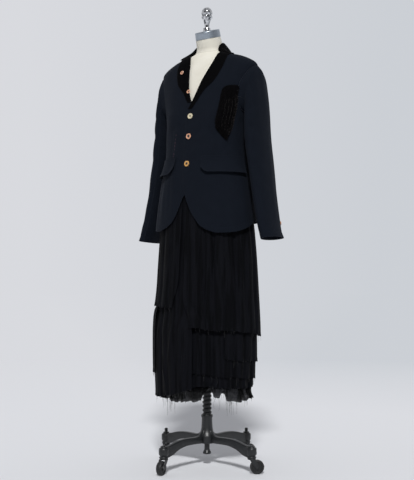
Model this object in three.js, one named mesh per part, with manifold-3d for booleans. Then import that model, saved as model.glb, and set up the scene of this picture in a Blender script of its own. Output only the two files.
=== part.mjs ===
// A coat dress on a tailor's form with a screw-post stand on castors.
// Millimetres, +Z up. The wearer faces -Y, so +X is the wearer's left. The floor is z = 0
// and the post stands on the origin. Angles round the body are in degrees, 0 at the centre
// front and 90 at the wearer's left side.
import * as THREE from "three";
import { mergeVertices } from "three/addons/utils/BufferGeometryUtils.js";
import Module from "manifold-3d";

// Driving sizes
const SEAM_GAP = 0.5; // between pieces that are sewn or laid together
const WOOL = 2.5; // thickness of the jacket cloth
const VELVET = 2.4;
const GAUZE = 1.2; // thickness of a skirt layer
const WAIST_SEAM = 1030; // height of the skirt's top edge, inside the jacket
const BUTTON_RADIUS = 10.5;
const WHEEL_RADIUS = 25;
const WHEEL_WIDTH = 18;
const LEG_REACH = 219; // from the post to a castor's stem
const LEG_TURN = 79; // where the first leg points, from +X towards +Y
const POST_RADIUS = 17; // over the thread
const POST_ROOT = 13.6; // under the thread
const THREAD_PITCH = 15;
const FORM_BASE = 800; // height of the form's flat underside
const POST_DROP = 35; // how far the post can be wound down from here

// Materials, in the colours of the real things
const finish = (colour, roughness, metalness = 0) =>
  new THREE.MeshStandardMaterial({ color: colour, roughness, metalness });
const wool = finish(0x161b26, 0.95);
const velvet = finish(0x08080b, 0.9);
const gauze = finish(0x121317, 0.85);
const sheer = finish(0x26262b, 0.8);
const canvas = finish(0xd9d5c6, 0.9);
const steel = finish(0x8d939b, 0.4, 1);
const chrome = finish(0xc8cacd, 0.15, 1);
const iron = finish(0x17191b, 0.45, 0.6);
const tyre = finish(0x1b1c1e, 0.6);
const creamHorn = finish(0xe5dcb8, 0.4);
const copperHorn = finish(0xd79a70, 0.4);
const amberHorn = finish(0xcf9a3c, 0.4);

const wasm = await Module();
wasm.setup();

// Number helpers
const radians = (degrees) => (degrees * Math.PI) / 180;
const mix = (a, b, share) => a + (b - a) * share;
const clamp01 = (x) => Math.min(1, Math.max(0, x));
const ease = (from, to, x) => {
  const s = clamp01((x - from) / (to - from));
  return s * s * (3 - 2 * s);
};
const spread = (from, to, steps) => Array.from({ length: steps + 1 }, (_, i) => mix(from, to, i / steps));
const vector = (x, y, z) => new THREE.Vector3(x, y, z);

// A smooth curve through the points (xs[i], ys[i]), flat at its turning points.
function curveThrough(xs, ys) {
  const slope = (i) => (ys[i + 1] - ys[i]) / (xs[i + 1] - xs[i]);
  const last = xs.length - 1;
  const tangent = xs.map((_, i) => {
    if (i === 0) return slope(0);
    if (i === last) return slope(last - 1);
    return slope(i - 1) * slope(i) <= 0 ? 0 : (slope(i - 1) + slope(i)) / 2;
  });
  return (x) => {
    if (x <= xs[0]) return ys[0];
    if (x >= xs[last]) return ys[last];
    const i = xs.findIndex((edge) => edge > x) - 1;
    const width = xs[i + 1] - xs[i];
    const s = (x - xs[i]) / width;
    return (
      ys[i] * (1 + 2 * s) * (1 - s) ** 2 +
      tangent[i] * width * s * (1 - s) ** 2 +
      ys[i + 1] * s * s * (3 - 2 * s) +
      tangent[i + 1] * width * s * s * (s - 1)
    );
  };
}

// A table with named columns, whose first column is what it is read by.
function table(columns, rows) {
  const keys = rows.map((row) => row[0]);
  const curves = {};
  columns.slice(1).forEach((name, i) => {
    curves[name] = curveThrough(keys, rows.map((row) => row[i + 1]));
  });
  return curves;
}

// Cross-sections of the body: half width, the front and back on the centre line, the
// middle that the width is measured at, and how square the section is.
const sectionPoint = (sections, t, z) => {
  const side = Math.sin(radians(t));
  const front = Math.cos(radians(t));
  const n = sections.square(z);
  const k = (Math.abs(side) ** n + Math.abs(front) ** n) ** (-1 / n);
  const middle = sections.middle(z);
  const depth = front > 0 ? middle - sections.front(z) : sections.back(z) - middle;
  return vector(sections.half(z) * side * k, middle - depth * front * k, z);
};

const SECTION = ["z", "half", "front", "back", "middle", "square"];

const jacketSections = table(SECTION, [
  [845, 203, -153, 147, 2, 2.2],
  [880, 199, -151, 142, 2, 2.2],
  [970, 187, -144, 127, 4, 2.2],
  [1050, 174, -137, 112, 6, 2.2],
  [1100, 166, -131, 104, 8, 2.2],
  [1160, 159, -124, 101, 9, 2.25],
  [1236, 157, -115, 106, 10, 2.3],
  [1290, 165, -106, 110, 12, 2.3],
  [1345, 180, -96, 110, 14, 2.25],
  [1400, 194, -83, 106, 16, 2.15],
  [1430, 199, -74, 102, 17, 2.1],
  [1455, 197, -66, 97, 18, 2],
  [1475, 182, -58, 92, 19, 2],
  [1488, 162, -52, 89, 20, 2],
  [1499, 137, -46, 86, 21, 2],
  [1513, 90, -36, 80, 23, 2],
  [1520, 72, -30, 76, 24, 2],
]);

const formSections = table(SECTION, [
  [FORM_BASE, 150, -92, 96, 4, 2.2],
  [860, 157, -101, 106, 4, 2.2],
  [920, 158, -103, 108, 4, 2.2],
  [1000, 148, -99, 97, 4, 2.2],
  [1080, 124, -88, 78, 4, 2.2],
  [1120, 118, -84, 72, 4, 2.2],
  [1180, 124, -88, 78, 6, 2.2],
  [1236, 136, -92, 88, 8, 2.25],
  [1290, 146, -92, 96, 10, 2.3],
  [1345, 152, -88, 100, 12, 2.3],
  [1400, 168, -79, 99, 15, 2.2],
  [1450, 186, -64, 94, 18, 2],
]);

const neckSections = table(SECTION, [
  [1513, 84, -31, 76, 23, 2],
  [1520, 64, -26, 71, 25, 2],
  [1531, 54, -25, 70, 24, 2],
  [1550, 48.5, -29, 65, 18, 2],
  [1578, 45.5, -36, 54.5, 9, 2],
  [1605, 44, -43.5, 44.5, 0.5, 2],
]);

// The bust: a soft swelling on each side of the front.
const BUST = { t: 33, z: 1268, width: 15, height: 42, jacket: 7, form: 17 };
const bustAt = (t, z) => {
  const across = (Math.abs(t) - BUST.t) / BUST.width;
  const along = (z - BUST.z) / BUST.height;
  return Math.exp(-across * across - along * along);
};

// The unit normal of a surface at (t, z), pointing away from the body.
function normalOf(surface, t, z) {
  const across = surface(t + 0.5, z).sub(surface(t - 0.5, z));
  const up = surface(t, z + 1).sub(surface(t, z - 1));
  return across.cross(up).normalize();
}

const offsetFrom = (surface, t, z, out) =>
  surface(t, z).addScaledVector(normalOf(surface, t, z), out);

// The jacket's outer face.
const plainJacket = (t, z) => sectionPoint(jacketSections, t, z);
const jacketFace = (t, z, out = 0) =>
  offsetFrom(plainJacket, t, z, out + BUST.jacket * bustAt(wrap(t), z));
const wrap = (t) => ((((t + 180) % 360) + 360) % 360) - 180;

// The angle at which the jacket's face is x across from the centre, at height z.
function angleAt(x, z) {
  let low = -89;
  let high = 89;
  for (let i = 0; i < 40; i += 1) {
    const t = (low + high) / 2;
    if (jacketFace(t, z).x < x) low = t;
    else high = t;
  }
  return (low + high) / 2;
}

// A closed mesh from corner points and triangles, turned to face out.
function solidGeometry(points, triangles) {
  let volume = 0;
  for (const [a, b, c] of triangles) {
    volume += points[a].dot(points[b].clone().cross(points[c]));
  }
  const facing = volume < 0 ? triangles.map(([a, b, c]) => [a, c, b]) : triangles;
  const geometry = new THREE.BufferGeometry();
  geometry.setAttribute("position", new THREE.Float32BufferAttribute(points.flatMap((p) => p.toArray()), 3));
  geometry.setIndex(facing.flat());
  return geometry;
}

// Cloth as a wall: point(u, v, depth) is a place on it, depth below its outer face.
function clothWall({ us, vs, point, thick, closed = false }) {
  const columns = us.length;
  const skins = [0, thick].map((depth) => vs.map((v) => us.map((u) => point(u, v, depth))));
  const points = skins.flat(2);
  const at = (skin, row, column) => (skin * vs.length + row) * columns + (column % columns);
  const triangles = [];
  const quad = (a, b, c, d) => triangles.push([a, b, c], [a, c, d]);
  const spans = closed ? columns : columns - 1;
  for (let row = 0; row < vs.length - 1; row += 1) {
    for (let c = 0; c < spans; c += 1) {
      quad(at(0, row, c), at(0, row, c + 1), at(0, row + 1, c + 1), at(0, row + 1, c));
      quad(at(1, row, c), at(1, row + 1, c), at(1, row + 1, c + 1), at(1, row, c + 1));
    }
    if (!closed) {
      const end = columns - 1;
      quad(at(0, row, 0), at(0, row + 1, 0), at(1, row + 1, 0), at(1, row, 0));
      quad(at(0, row, end), at(1, row, end), at(1, row + 1, end), at(0, row + 1, end));
    }
  }
  const top = vs.length - 1;
  for (let c = 0; c < spans; c += 1) {
    quad(at(0, 0, c), at(1, 0, c), at(1, 0, c + 1), at(0, 0, c + 1));
    quad(at(0, top, c), at(0, top, c + 1), at(1, top, c + 1), at(1, top, c));
  }
  return solidGeometry(points, triangles);
}

// A solid skinned over rings of points, with flat ends.
function skinned(rings) {
  const sides = rings[0].length;
  const points = rings.flat();
  const triangles = [];
  for (let ring = 0; ring < rings.length - 1; ring += 1) {
    for (let i = 0; i < sides; i += 1) {
      const next = (i + 1) % sides;
      const [a, b] = [ring * sides + i, ring * sides + next];
      triangles.push([a, b, b + sides], [a, b + sides, a + sides]);
    }
  }
  const end = (rings.length - 1) * sides;
  for (let i = 1; i < sides - 1; i += 1) {
    triangles.push([0, i + 1, i], [end, end + i, end + i + 1]);
  }
  return solidGeometry(points, triangles);
}

// A turned piece about Z, from [radius, height] pairs that start and end on the axis or
// close on themselves.
function turned(profile, segments) {
  const points = profile.map(([r, z]) => new THREE.Vector2(r, z));
  return new THREE.LatheGeometry(points, segments).rotateX(Math.PI / 2);
}

const ringProfile = (inner, outer, bottom, top) => [
  [inner, bottom],
  [outer, bottom],
  [outer, top],
  [inner, top],
  [inner, bottom],
];

const rodProfile = (radius, bottom, top) => [
  [0, bottom],
  [radius, bottom],
  [radius, top],
  [0, top],
];

// A three.js mesh as a solid that can be joined and cut, and back.
function toSolid(geometry) {
  const bare = geometry.index ? geometry.toNonIndexed() : geometry.clone();
  const only = new THREE.BufferGeometry().setAttribute("position", bare.getAttribute("position"));
  const merged = mergeVertices(only, 1e-3);
  const solid = new wasm.Manifold(
    new wasm.Mesh({
      numProp: 3,
      vertProperties: merged.attributes.position.array,
      triVerts: new Uint32Array(merged.index.array),
    }),
  );
  if (solid.volume() > 0) return solid;
  const turnedRound = new Uint32Array(merged.index.array).reverse();
  return new wasm.Manifold(
    new wasm.Mesh({ numProp: 3, vertProperties: merged.attributes.position.array, triVerts: turnedRound }),
  );
}

function fromSolid(solid) {
  const made = solid.getMesh();
  const geometry = new THREE.BufferGeometry();
  geometry.setAttribute("position", new THREE.BufferAttribute(made.vertProperties, 3));
  geometry.setIndex(new THREE.BufferAttribute(made.triVerts, 1));
  return geometry;
}

const joined = (...geometries) =>
  fromSolid(geometries.map(toSolid).reduce((all, next) => all.add(next)));
const cut = (geometry, ...tools) =>
  fromSolid(tools.map(toSolid).reduce((rest, tool) => rest.subtract(tool), toSolid(geometry)));

const model = new THREE.Group();

function add(name, geometry, material) {
  const mesh = new THREE.Mesh(geometry, material);
  mesh.name = name;
  model.add(mesh);
  return mesh;
}

// The form: torso and neck in one, with the post's socket in its underside
const BACK_OF_JACKET = WOOL + 1.8; // from the jacket's outer face to the form's shoulders

function formFace(t, z) {
  if (z <= 1450) {
    const low = sectionPoint(formSections, t, z);
    const shape = (a, b) => sectionPoint(formSections, a, b);
    const swell = BUST.form * bustAt(wrap(t), z);
    const bare = low.addScaledVector(normalOf(shape, t, z), swell);
    return bare.lerp(offsetFrom(plainJacket, t, z, -BACK_OF_JACKET), ease(1400, 1450, z));
  }
  if (z <= 1513) return offsetFrom(plainJacket, t, z, -BACK_OF_JACKET);
  return sectionPoint(neckSections, t, z);
}

const NECK_LEAN = 0.34; // rise of the neck's rings from front to back
const leanAt = (z) => NECK_LEAN * ease(1518, 1575, z);
const ROUND_FORM = 20;

function formRing(z) {
  const lean = leanAt(z);
  const middle = neckSections.middle(z);
  return spread(0, 360, ROUND_FORM)
    .slice(0, -1)
    .map((t) => {
      const p = formFace(t, z);
      return p.setZ(p.z + lean * (p.y - middle));
    });
}

const SOCKET_TOP = 1075;
const SOCKET_RADIUS = POST_RADIUS + 1.5;

function torso() {
  const heights = [FORM_BASE, 870, 940, 1020, 1110, 1180, 1236, 1268, 1300, 1350, 1400, 1430, 1452, 1470,
    1486, 1499, 1509, 1520, 1531, 1550, 1578];
  const whole = skinned(heights.map(formRing));
  return cut(whole, turned(rodProfile(SOCKET_RADIUS, FORM_BASE - 10, SOCKET_TOP), 14));
}

add("form_torso", torso(), canvas);

const CAP_BOTTOM = 1578;
const CAP_TOP = 1604;

function neckCap() {
  const ring = (z, grow) => {
    const middle = neckSections.middle(z);
    return spread(0, 360, ROUND_FORM)
      .slice(0, -1)
      .map((t) => {
        const p = offsetFrom((a, b) => sectionPoint(neckSections, a, b), t, z, grow);
        return vector(p.x, p.y, z + NECK_LEAN * (p.y - middle));
      });
  };
  return skinned([ring(CAP_BOTTOM + SEAM_GAP, 0.8), ring(CAP_TOP - 2, 0.8), ring(CAP_TOP, -1.2)]);
}

add("neck_cap", neckCap(), steel);

// The finial on the neck cap, turned about the post's own line.
const FINIAL_FOOT = 1609.5;
const finialProfile = [
  [0, -9],
  [14, -9],
  [14, 4],
  [9, 8],
  [8.6, 16],
  [11.5, 27],
  [15.5, 36],
  [20.8, 45],
  [20, 48],
  [17.4, 52],
  [20, 57],
  [19.2, 66],
  [14.6, 75],
  [7.5, 80],
  [0, 81.5],
].map(([r, z]) => [r, z + FINIAL_FOOT]);

// Its foot is cut to the slope of the cap.
function finial() {
  const slab = new THREE.BoxGeometry(60, 80, 40).translate(0, 0, -20 + SEAM_GAP);
  slab.rotateX(Math.atan(NECK_LEAN)).translate(0, neckSections.middle(CAP_TOP), CAP_TOP);
  return cut(turned(finialProfile, 10), slab);
}

add("finial", finial(), chrome);

// The stand: hub, screw post, foot nut, four arched legs
const HUB_TOP = 188;
const HUB_BOTTOM = 84;

const HUB_BORE = POST_RADIUS + 1.2;
const hubProfile = [
  [HUB_BORE, HUB_BOTTOM + 11],
  [10.6, HUB_BOTTOM + 11],
  [10.6, HUB_BOTTOM],
  [28, HUB_BOTTOM],
  [31, 88],
  [31, 108],
  [29, 115],
  [23, 128],
  [20.2, 145],
  [19.6, HUB_TOP - 11],
  [21.5, HUB_TOP - 8],
  [21.5, HUB_TOP],
  [HUB_BORE, HUB_TOP],
  [HUB_BORE, HUB_BOTTOM + 11],
];

add("stand_hub", turned(hubProfile, 12), iron);

// The post's thread is one raised turn that climbs a pitch for each time round.
const THREAD_FROM = 192;
const THREAD_TO = 297;
const POST_TOP = 950;

function post() {
  const sides = 8;
  const ring = (z, radiusAt) =>
    spread(0, 360, sides)
      .slice(0, -1)
      .map((turn) => {
        const r = radiusAt(turn);
        return vector(r * Math.cos(radians(turn)), r * Math.sin(radians(turn)), z);
      });
  const steps = Math.round((THREAD_TO - THREAD_FROM) / THREAD_PITCH) * 4;
  const middle = (POST_RADIUS + POST_ROOT) / 2;
  const height = (POST_RADIUS - POST_ROOT) / 2;
  const thread = spread(THREAD_FROM, THREAD_TO, steps).map((z) =>
    ring(z, (turn) => middle + height * Math.cos(radians(turn) - (2 * Math.PI * z) / THREAD_PITCH)),
  );
  const shankFoot = HUB_BOTTOM + 11 + POST_DROP + SEAM_GAP; // clear of the bore's floor, wound down
  const shank = skinned([
    ring(shankFoot, () => POST_RADIUS),
    ring(THREAD_FROM - 3, () => POST_RADIUS),
    ...thread,
    ring(THREAD_TO + 6, () => POST_RADIUS),
    ring(POST_TOP, () => POST_RADIUS),
  ]);
  return joined(shank, turned(rodProfile(9.8, 61, shankFoot + 3), 10));
}

add("screw_post", post(), iron);

const footNutProfile = [
  [0, 43],
  [13, 43],
  [15.5, 47],
  [14, 52],
  [10.6, 58],
  [10, 60.6],
  [0, 60.6],
];
add("foot_nut", turned(footNutProfile, 12), iron);

// The collar on the post that the form rests on and turns on.
add(
  "post_collar",
  turned(ringProfile(POST_RADIUS + 0.6, 33, FORM_BASE - SEAM_GAP - 18, FORM_BASE - SEAM_GAP), 14),
  iron,
);

const LEG_START = 30.9; // just clear of the hub
const legSections = table(["reach", "low", "high"], [
  [LEG_START, 85, 110],
  [70, 87, 111.5],
  [115, 86, 112],
  [150, 78, 108.5],
  [180, 63, 101],
  [206, 57, 96],
]);
const LEG_WIDTH = 20;
const BOSS_RADIUS = 17.5;
const STEM_RADIUS = 6;
const boss = { bottom: 57, top: 99 };

function leg() {
  const arch = [LEG_START, 60, 95, 130, 155, 178, 206].map((reach) => {
    const [low, high] = [legSections.low(reach), legSections.high(reach)];
    const w = LEG_WIDTH / 2;
    const bevel = 5;
    return [
      [-w, low + bevel],
      [-w + bevel, low],
      [w - bevel, low],
      [w, low + bevel],
      [w, high - bevel],
      [w - bevel, high],
      [-w + bevel, high],
      [-w, high - bevel],
    ].map(([across, z]) => vector(reach, across, z));
  });
  const eye = turned(
    [
      [0, boss.bottom],
      [BOSS_RADIUS, boss.bottom],
      [BOSS_RADIUS, boss.top - 7],
      [BOSS_RADIUS - 5, boss.top],
      [0, boss.top],
    ],
    14,
  ).translate(LEG_REACH, 0, 0);
  const bore = turned(rodProfile(STEM_RADIUS + 0.4, boss.bottom - 5, boss.top + 5), 10).translate(
    LEG_REACH,
    0,
    0,
  );
  return cut(joined(skinned(arch), eye), bore);
}

// The castors: a fork on a stem, and a wheel. Trail is the way that each one points.
const WHEEL_CENTRE = WHEEL_RADIUS;
const TRAIL = 19;
const PLATE = { bottom: 51.5, top: 56.5, radius: 15 };
const AXLE_RADIUS = 4;
const WHEEL_SIDES = 14;
const castors = [
  { name: "back_left", turn: LEG_TURN, trail: 78, stemTop: 114 },
  { name: "back_right", turn: LEG_TURN + 90, trail: 123, stemTop: 114 },
  { name: "front_right", turn: LEG_TURN + 180, trail: 278, stemTop: 101 },
  { name: "front_left", turn: LEG_TURN + 270, trail: 36, stemTop: 101 },
];

function fork(stemTop) {
  const stem = turned(rodProfile(STEM_RADIUS, PLATE.bottom + 1, stemTop), 10);
  const plate = turned(rodProfile(PLATE.radius, PLATE.bottom, PLATE.top), 12);
  const outline = new THREE.Shape();
  outline.moveTo(-10, PLATE.bottom + 2);
  outline.lineTo(13, PLATE.bottom + 2);
  outline.lineTo(TRAIL + 7, WHEEL_CENTRE + 5);
  outline.lineTo(TRAIL + 6, WHEEL_CENTRE - 6);
  outline.lineTo(TRAIL - 6, WHEEL_CENTRE - 6);
  outline.closePath();
  const cheek = 3;
  const inside = WHEEL_WIDTH / 2 + 1;
  const side = (from) =>
    new THREE.ExtrudeGeometry(outline, { depth: cheek, bevelEnabled: false })
      .rotateX(Math.PI / 2)
      .translate(0, from + cheek, 0);
  const axle = new THREE.CylinderGeometry(AXLE_RADIUS, AXLE_RADIUS, 2 * inside + 2 * cheek, 8).translate(
    TRAIL,
    0,
    WHEEL_CENTRE,
  );
  return joined(stem, plate, side(inside), side(-inside - cheek), axle);
}

function wheel() {
  const rim = WHEEL_RADIUS / Math.cos(Math.PI / WHEEL_SIDES);
  const w = WHEEL_WIDTH / 2;
  const profile = [
    [AXLE_RADIUS + 0.4, -w],
    [rim - 3, -w],
    [rim, -w + 4],
    [rim, w - 4],
    [rim - 3, w],
    [AXLE_RADIUS + 0.4, w],
    [AXLE_RADIUS + 0.4, -w],
  ].map(([r, across]) => new THREE.Vector2(r, across));
  return new THREE.LatheGeometry(profile, WHEEL_SIDES)
    .rotateY(Math.PI / WHEEL_SIDES)
    .translate(TRAIL, 0, WHEEL_CENTRE);
}

for (const castor of castors) {
  const arm = add("leg_" + castor.name, leg(), iron);
  arm.rotation.z = radians(castor.turn);
  const stem = vector(LEG_REACH, 0, 0).applyAxisAngle(vector(0, 0, 1), radians(castor.turn));
  for (const [name, geometry, material] of [
    ["castor_fork_", fork(castor.stemTop), iron],
    ["castor_wheel_", wheel(), tyre],
  ]) {
    const piece = add(name + castor.name, geometry, material);
    piece.position.copy(stem);
    piece.rotation.z = radians(castor.trail);
  }
}

// Jacket edges: how far across each front's edge lies at each height, and where the hem
// turns up to the side seam. The neckline is opened a little to the wearer's left.
const frontEdges = table(["z", "left", "right"], [
  [847, 118, 118],
  [856, 92, 92],
  [871, 66, 66],
  [895, 46, 48],
  [918, 29, 36],
  [960, 8, 21],
  [1003, -9, 1],
  [1050, -17, -15],
  [1100, -20, -20],
  [1265, -20, -20],
  [1290, -17, -17],
  [1310, -5, -5],
  [1340, 9, 10],
  [1372, 22, 20],
  [1405, 35, 26],
  [1440, 51, 31],
  [1480, 67, 38],
  [1505, 71, 49],
  [1517, 73, 60],
]);
const frontEdge = (side, z) => (side > 0 ? frontEdges.left(z) : frontEdges.right(z));
const hemEnd = table(["z", "t"], [
  [847, 46],
  [851, 57],
  [860, 68],
  [873, 79],
  [884, 86],
  [892, 90],
]).t;

// The armhole, as an angle round it: 0 at the shoulder point, 90 at the back and 180 at
// the underarm. Inset moves in from its edge.
const ARMHOLE = { middle: 1368.5, half: 83.5, front: 33, back: 31, radius: 170 };
function armhole(turn, inset = 0) {
  const across = Math.sin(radians(turn));
  const reach = across < 0 ? ARMHOLE.front : ARMHOLE.back;
  const narrowed = reach - (inset / ARMHOLE.radius) * (180 / Math.PI);
  return {
    t: 90 + Math.sign(across) * narrowed * Math.abs(across) ** 0.9,
    z: ARMHOLE.middle + (ARMHOLE.half - inset) * Math.cos(radians(turn)),
  };
}
const ARM_TURNS = spread(180, 0, 8);
const armholeHeights = ARM_TURNS.map((turn) => armhole(turn).z);
const turnAtHeight = (z) =>
  (Math.acos(Math.max(-1, Math.min(1, (z - ARMHOLE.middle) / ARMHOLE.half))) * 180) / Math.PI;

const SEAM_HALF = 0.1; // half a seam's gap, in degrees round the body
const underArm = ARMHOLE.middle - ARMHOLE.half;
const shoulderPoint = ARMHOLE.middle + ARMHOLE.half;

function frontLimits(side, z) {
  const start = angleAt(frontEdge(side, z), z);
  let end = 90;
  if (z < 892) end = hemEnd(z);
  else if (z > underArm && z < shoulderPoint) end = armhole(-turnAtHeight(z)).t;
  return [start, end - SEAM_HALF];
}

// The right front lies under the left one where they button.
const underLap = (t, z) => -(WOOL + SEAM_GAP) * (1 - ease(9, 22, t)) * (1 - ease(1322, 1368, z));

const shoulderHeights = [...armholeHeights, 1470, 1486, 1499, 1509, 1517];
const frontHeights = [847, 852, 862, 876, 892, 930, 980, 1040, 1110, 1180, 1236, ...shoulderHeights];

function front(side) {
  return clothWall({
    us: spread(0, 1, 8),
    vs: frontHeights,
    thick: WOOL,
    point: (u, z, depth) => {
      const [start, end] = frontLimits(side, z);
      const t = mix(start, end, u);
      const lap = side < 0 ? underLap(t, z) : 0;
      const p = jacketFace(t, z, lap - depth);
      return vector(side * p.x, p.y, p.z);
    },
  });
}

add("front_left", front(1), wool);
add("front_right", front(-1), wool);

const BACK_HEM = 892;
const backHeights = [BACK_HEM, 940, 1000, 1060, 1120, 1180, 1236, ...shoulderHeights];

function back(side) {
  return clothWall({
    us: spread(0, 1, 7),
    vs: backHeights,
    thick: WOOL,
    point: (u, z, depth) => {
      const inArmhole = z > underArm && z < shoulderPoint;
      const start = inArmhole ? armhole(turnAtHeight(z)).t : 90;
      const t = mix(start + SEAM_HALF, 180 - SEAM_HALF, u);
      const p = jacketFace(t, z, -depth);
      return vector(side * p.x, p.y, p.z);
    },
  });
}

add("back_left", back(1), wool);
add("back_right", back(-1), wool);

// Sleeves: rings from the armhole to the cuff. Each ring is an ellipse between an outer
// and an inner point, with its own middle and reach from front to back.
const sleeveRings = [
  { out: [209, 1449], inner: [169.5, 1274], middle: 18, reach: 60 },
  { out: [218, 1436], inner: [169.5, 1256], middle: 22, reach: 66 },
  { out: [223, 1408], inner: [168, 1236], middle: 26, reach: 71 },
  { out: [225, 1365], inner: [167, 1214], middle: 28, reach: 76 },
  { out: [226, 1290], inner: [167, 1180], middle: 30, reach: 79 },
  { out: [231, 1190], inner: [172, 1130], middle: 31, reach: 79 },
  { out: [246, 1075], inner: [186, 1055], middle: 30, reach: 77 },
  { out: [264, 965], inner: [205, 958], middle: 24, reach: 73 },
  { out: [278, 890], inner: [222, 886], middle: 16, reach: 69 },
  { out: [293, 828], inner: [240, 826], middle: 11, reach: 66 },
];

function sleeveRing(k, turn) {
  if (k <= 0) {
    const { t, z } = armhole(turn);
    return jacketFace(t, z, SEAM_GAP + 0.1);
  }
  const ring = sleeveRings[Math.min(k, sleeveRings.length) - 1];
  const [c, s] = [Math.cos(radians(turn)), Math.sin(radians(turn))];
  const [x, z] = [0, 1].map((i) => mix(ring.inner[i], ring.out[i], (1 + c) / 2));
  return vector(x, ring.middle + ring.reach * s, z);
}

function sleeveFace(turn, v) {
  const k = Math.min(Math.floor(v), sleeveRings.length - 1);
  const s = v - k;
  const [before, from, to, after] = [k - 1, k, k + 1, k + 2].map((ring) =>
    sleeveRing(Math.max(0, ring), turn),
  );
  const weights = [-s + 2 * s * s - s ** 3, 2 - 5 * s * s + 3 * s ** 3, s + 4 * s * s - 3 * s ** 3, -s * s + s ** 3];
  return [before, from, to, after].reduce((sum, p, i) => sum.addScaledVector(p, weights[i] / 2), vector(0, 0, 0));
}

function sleevePoint(turn, v, out) {
  const low = Math.max(0, v - 0.05);
  const high = Math.min(sleeveRings.length, v + 0.05);
  const round = sleeveFace(turn + 1, v).sub(sleeveFace(turn - 1, v));
  const along = sleeveFace(turn, high).sub(sleeveFace(turn, low));
  return sleeveFace(turn, v).addScaledVector(along.cross(round).normalize(), out);
}

// A sleeve is cut as an upper and an under piece, joined at a front and a back seam.
const SEAM_TURN = { front: -112.5, back: 90 };
const SLEEVE_ROWS = [0, 0.5, 1, 2, 3.5, 5, 6.5, 8, 9, 10];

function sleeve(side, from, to, columns) {
  const halfGap = 0.25;
  const turns = spread(from, to, columns);
  turns[0] += halfGap;
  turns[columns] -= halfGap;
  return clothWall({
    us: turns,
    vs: SLEEVE_ROWS,
    thick: WOOL,
    point: (turn, v, depth) => {
      const p = sleevePoint(turn, v, -depth);
      return vector(side * p.x, p.y, p.z);
    },
  });
}

for (const [name, side] of [["left", 1], ["right", -1]]) {
  add("sleeve_upper_" + name, sleeve(side, SEAM_TURN.front, SEAM_TURN.back, 9), wool);
  add("sleeve_under_" + name, sleeve(side, SEAM_TURN.back, 360 + SEAM_TURN.front, 7), wool);
}

// The velvet collar: a leaf up the neck, folded over, and a leaf down onto the shoulders
const collarFoot = table(["t", "z"], [
  [62, 1512.5],
  [85, 1516],
  [105, 1515],
  [140, 1506],
  [180, 1501],
]).z;
const COLLAR_INNER_FOOT = 1524;
const COLLAR_TOP = 1545;
const COLLAR_ROOM = 1.9; // between the neck and the collar's inner leaf

function collarSection(t) {
  const turnFrom = Math.abs(t);
  const raised = (z, out, lift) => {
    const p = offsetFrom(formFace, turnFrom, z, out);
    p.z += lift + leanAt(z) * (p.y - neckSections.middle(z));
    return p;
  };
  const foot = (out) => jacketFace(turnFrom, collarFoot(turnFrom), out);
  const outerFoot = foot(SEAM_GAP + 0.4 + VELVET);
  const innerFoot = foot(SEAM_GAP + 0.4);
  const crest = raised(COLLAR_TOP, COLLAR_ROOM + 7.2, 0);
  const section = [
    raised(COLLAR_INNER_FOOT, COLLAR_ROOM, 0),
    raised(COLLAR_TOP, COLLAR_ROOM, -2),
    raised(COLLAR_TOP, COLLAR_ROOM + 2.2, 3.5),
    raised(COLLAR_TOP, COLLAR_ROOM + 5.7, 3),
    crest.clone().lerp(outerFoot, 0.5).add(vector(0, 0, 2.5)),
    outerFoot,
    innerFoot,
    raised(COLLAR_TOP, COLLAR_ROOM + 3.8, -2.5),
    raised(COLLAR_INNER_FOOT, COLLAR_ROOM + VELVET, 0),
  ];
  return t < 0 ? section.map((p) => vector(-p.x, p.y, p.z)) : section;
}

function collar() {
  const start = 60;
  return skinned(spread(start, 360 - start, 14).map((t) => collarSection(wrap(t))));
}

add("collar", collar(), velvet);

// Velvet lapels, laid on the fronts along the neckline
const lapelEdge = table(["z", "x"], [
  [1298, 2],
  [1312, 12],
  [1330, 24],
  [1368, 50],
  [1392, 76],
  [1424, 93],
  [1457, 101],
  [1490, 98],
  [1507, 92],
]).x;
const LAPEL_ROOM = 1.5;
const ROLL = 1.5; // how far the velvet reaches past the cloth's edge

function lapel(side, foot) {
  return clothWall({
    us: spread(0, 1, 4),
    vs: [foot, ...shoulderHeights.filter((z) => z > foot + 5 && z < 1512)],
    thick: VELVET,
    point: (u, z, depth) => {
      const t = mix(angleAt(frontEdge(side, z) - ROLL, z), angleAt(lapelEdge(z), z), u);
      const lap = side < 0 ? underLap(t, z) : 0;
      const p = jacketFace(t, z, lap + LAPEL_ROOM + VELVET - depth);
      return vector(side * p.x, p.y, p.z);
    },
  });
}

// The right lapel goes under the left front where the two meet.
add("lapel_left", lapel(1, 1300), velvet);
add("lapel_right", lapel(-1, 1326), velvet);

// Pocket flaps, sewn along their top edge and standing a little off the cloth below
const FLAP = { top: 1122, drop: 60, from: 20.5, to: 80, lift: 5.5, slant: 5 };

function flap(side) {
  const columns = 8;
  return clothWall({
    us: spread(0, 1, columns),
    vs: [0, 0.35, 0.7, 1],
    thick: WOOL,
    point: (u, v, depth) => {
      const corner = Math.max(0, 1 - u * 5) ** 2;
      const t = mix(FLAP.from + FLAP.slant * v * (1 - u), FLAP.to, u);
      const z = FLAP.top - FLAP.drop * v * (1 - 0.28 * corner);
      const p = jacketFace(t, z, SEAM_GAP + 0.4 + WOOL + FLAP.lift * v * v - depth);
      return vector(side * p.x, p.y, p.z);
    },
  });
}

add("pocket_flap_left", flap(1), wool);
add("pocket_flap_right", flap(-1), wool);

// The shaggy patch on the left chest: its two side edges at each height
const patchEdges = table(["z", "from", "to"], [
  [1183, 50, 53],
  [1200, 43.5, 55],
  [1222, 38, 58],
  [1290, 39.5, 61],
  [1320, 39.5, 57],
  [1345, 39.5, 53.5],
  [1356, 40.5, 52.5],
  [1361, 44, 51],
]);

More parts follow.
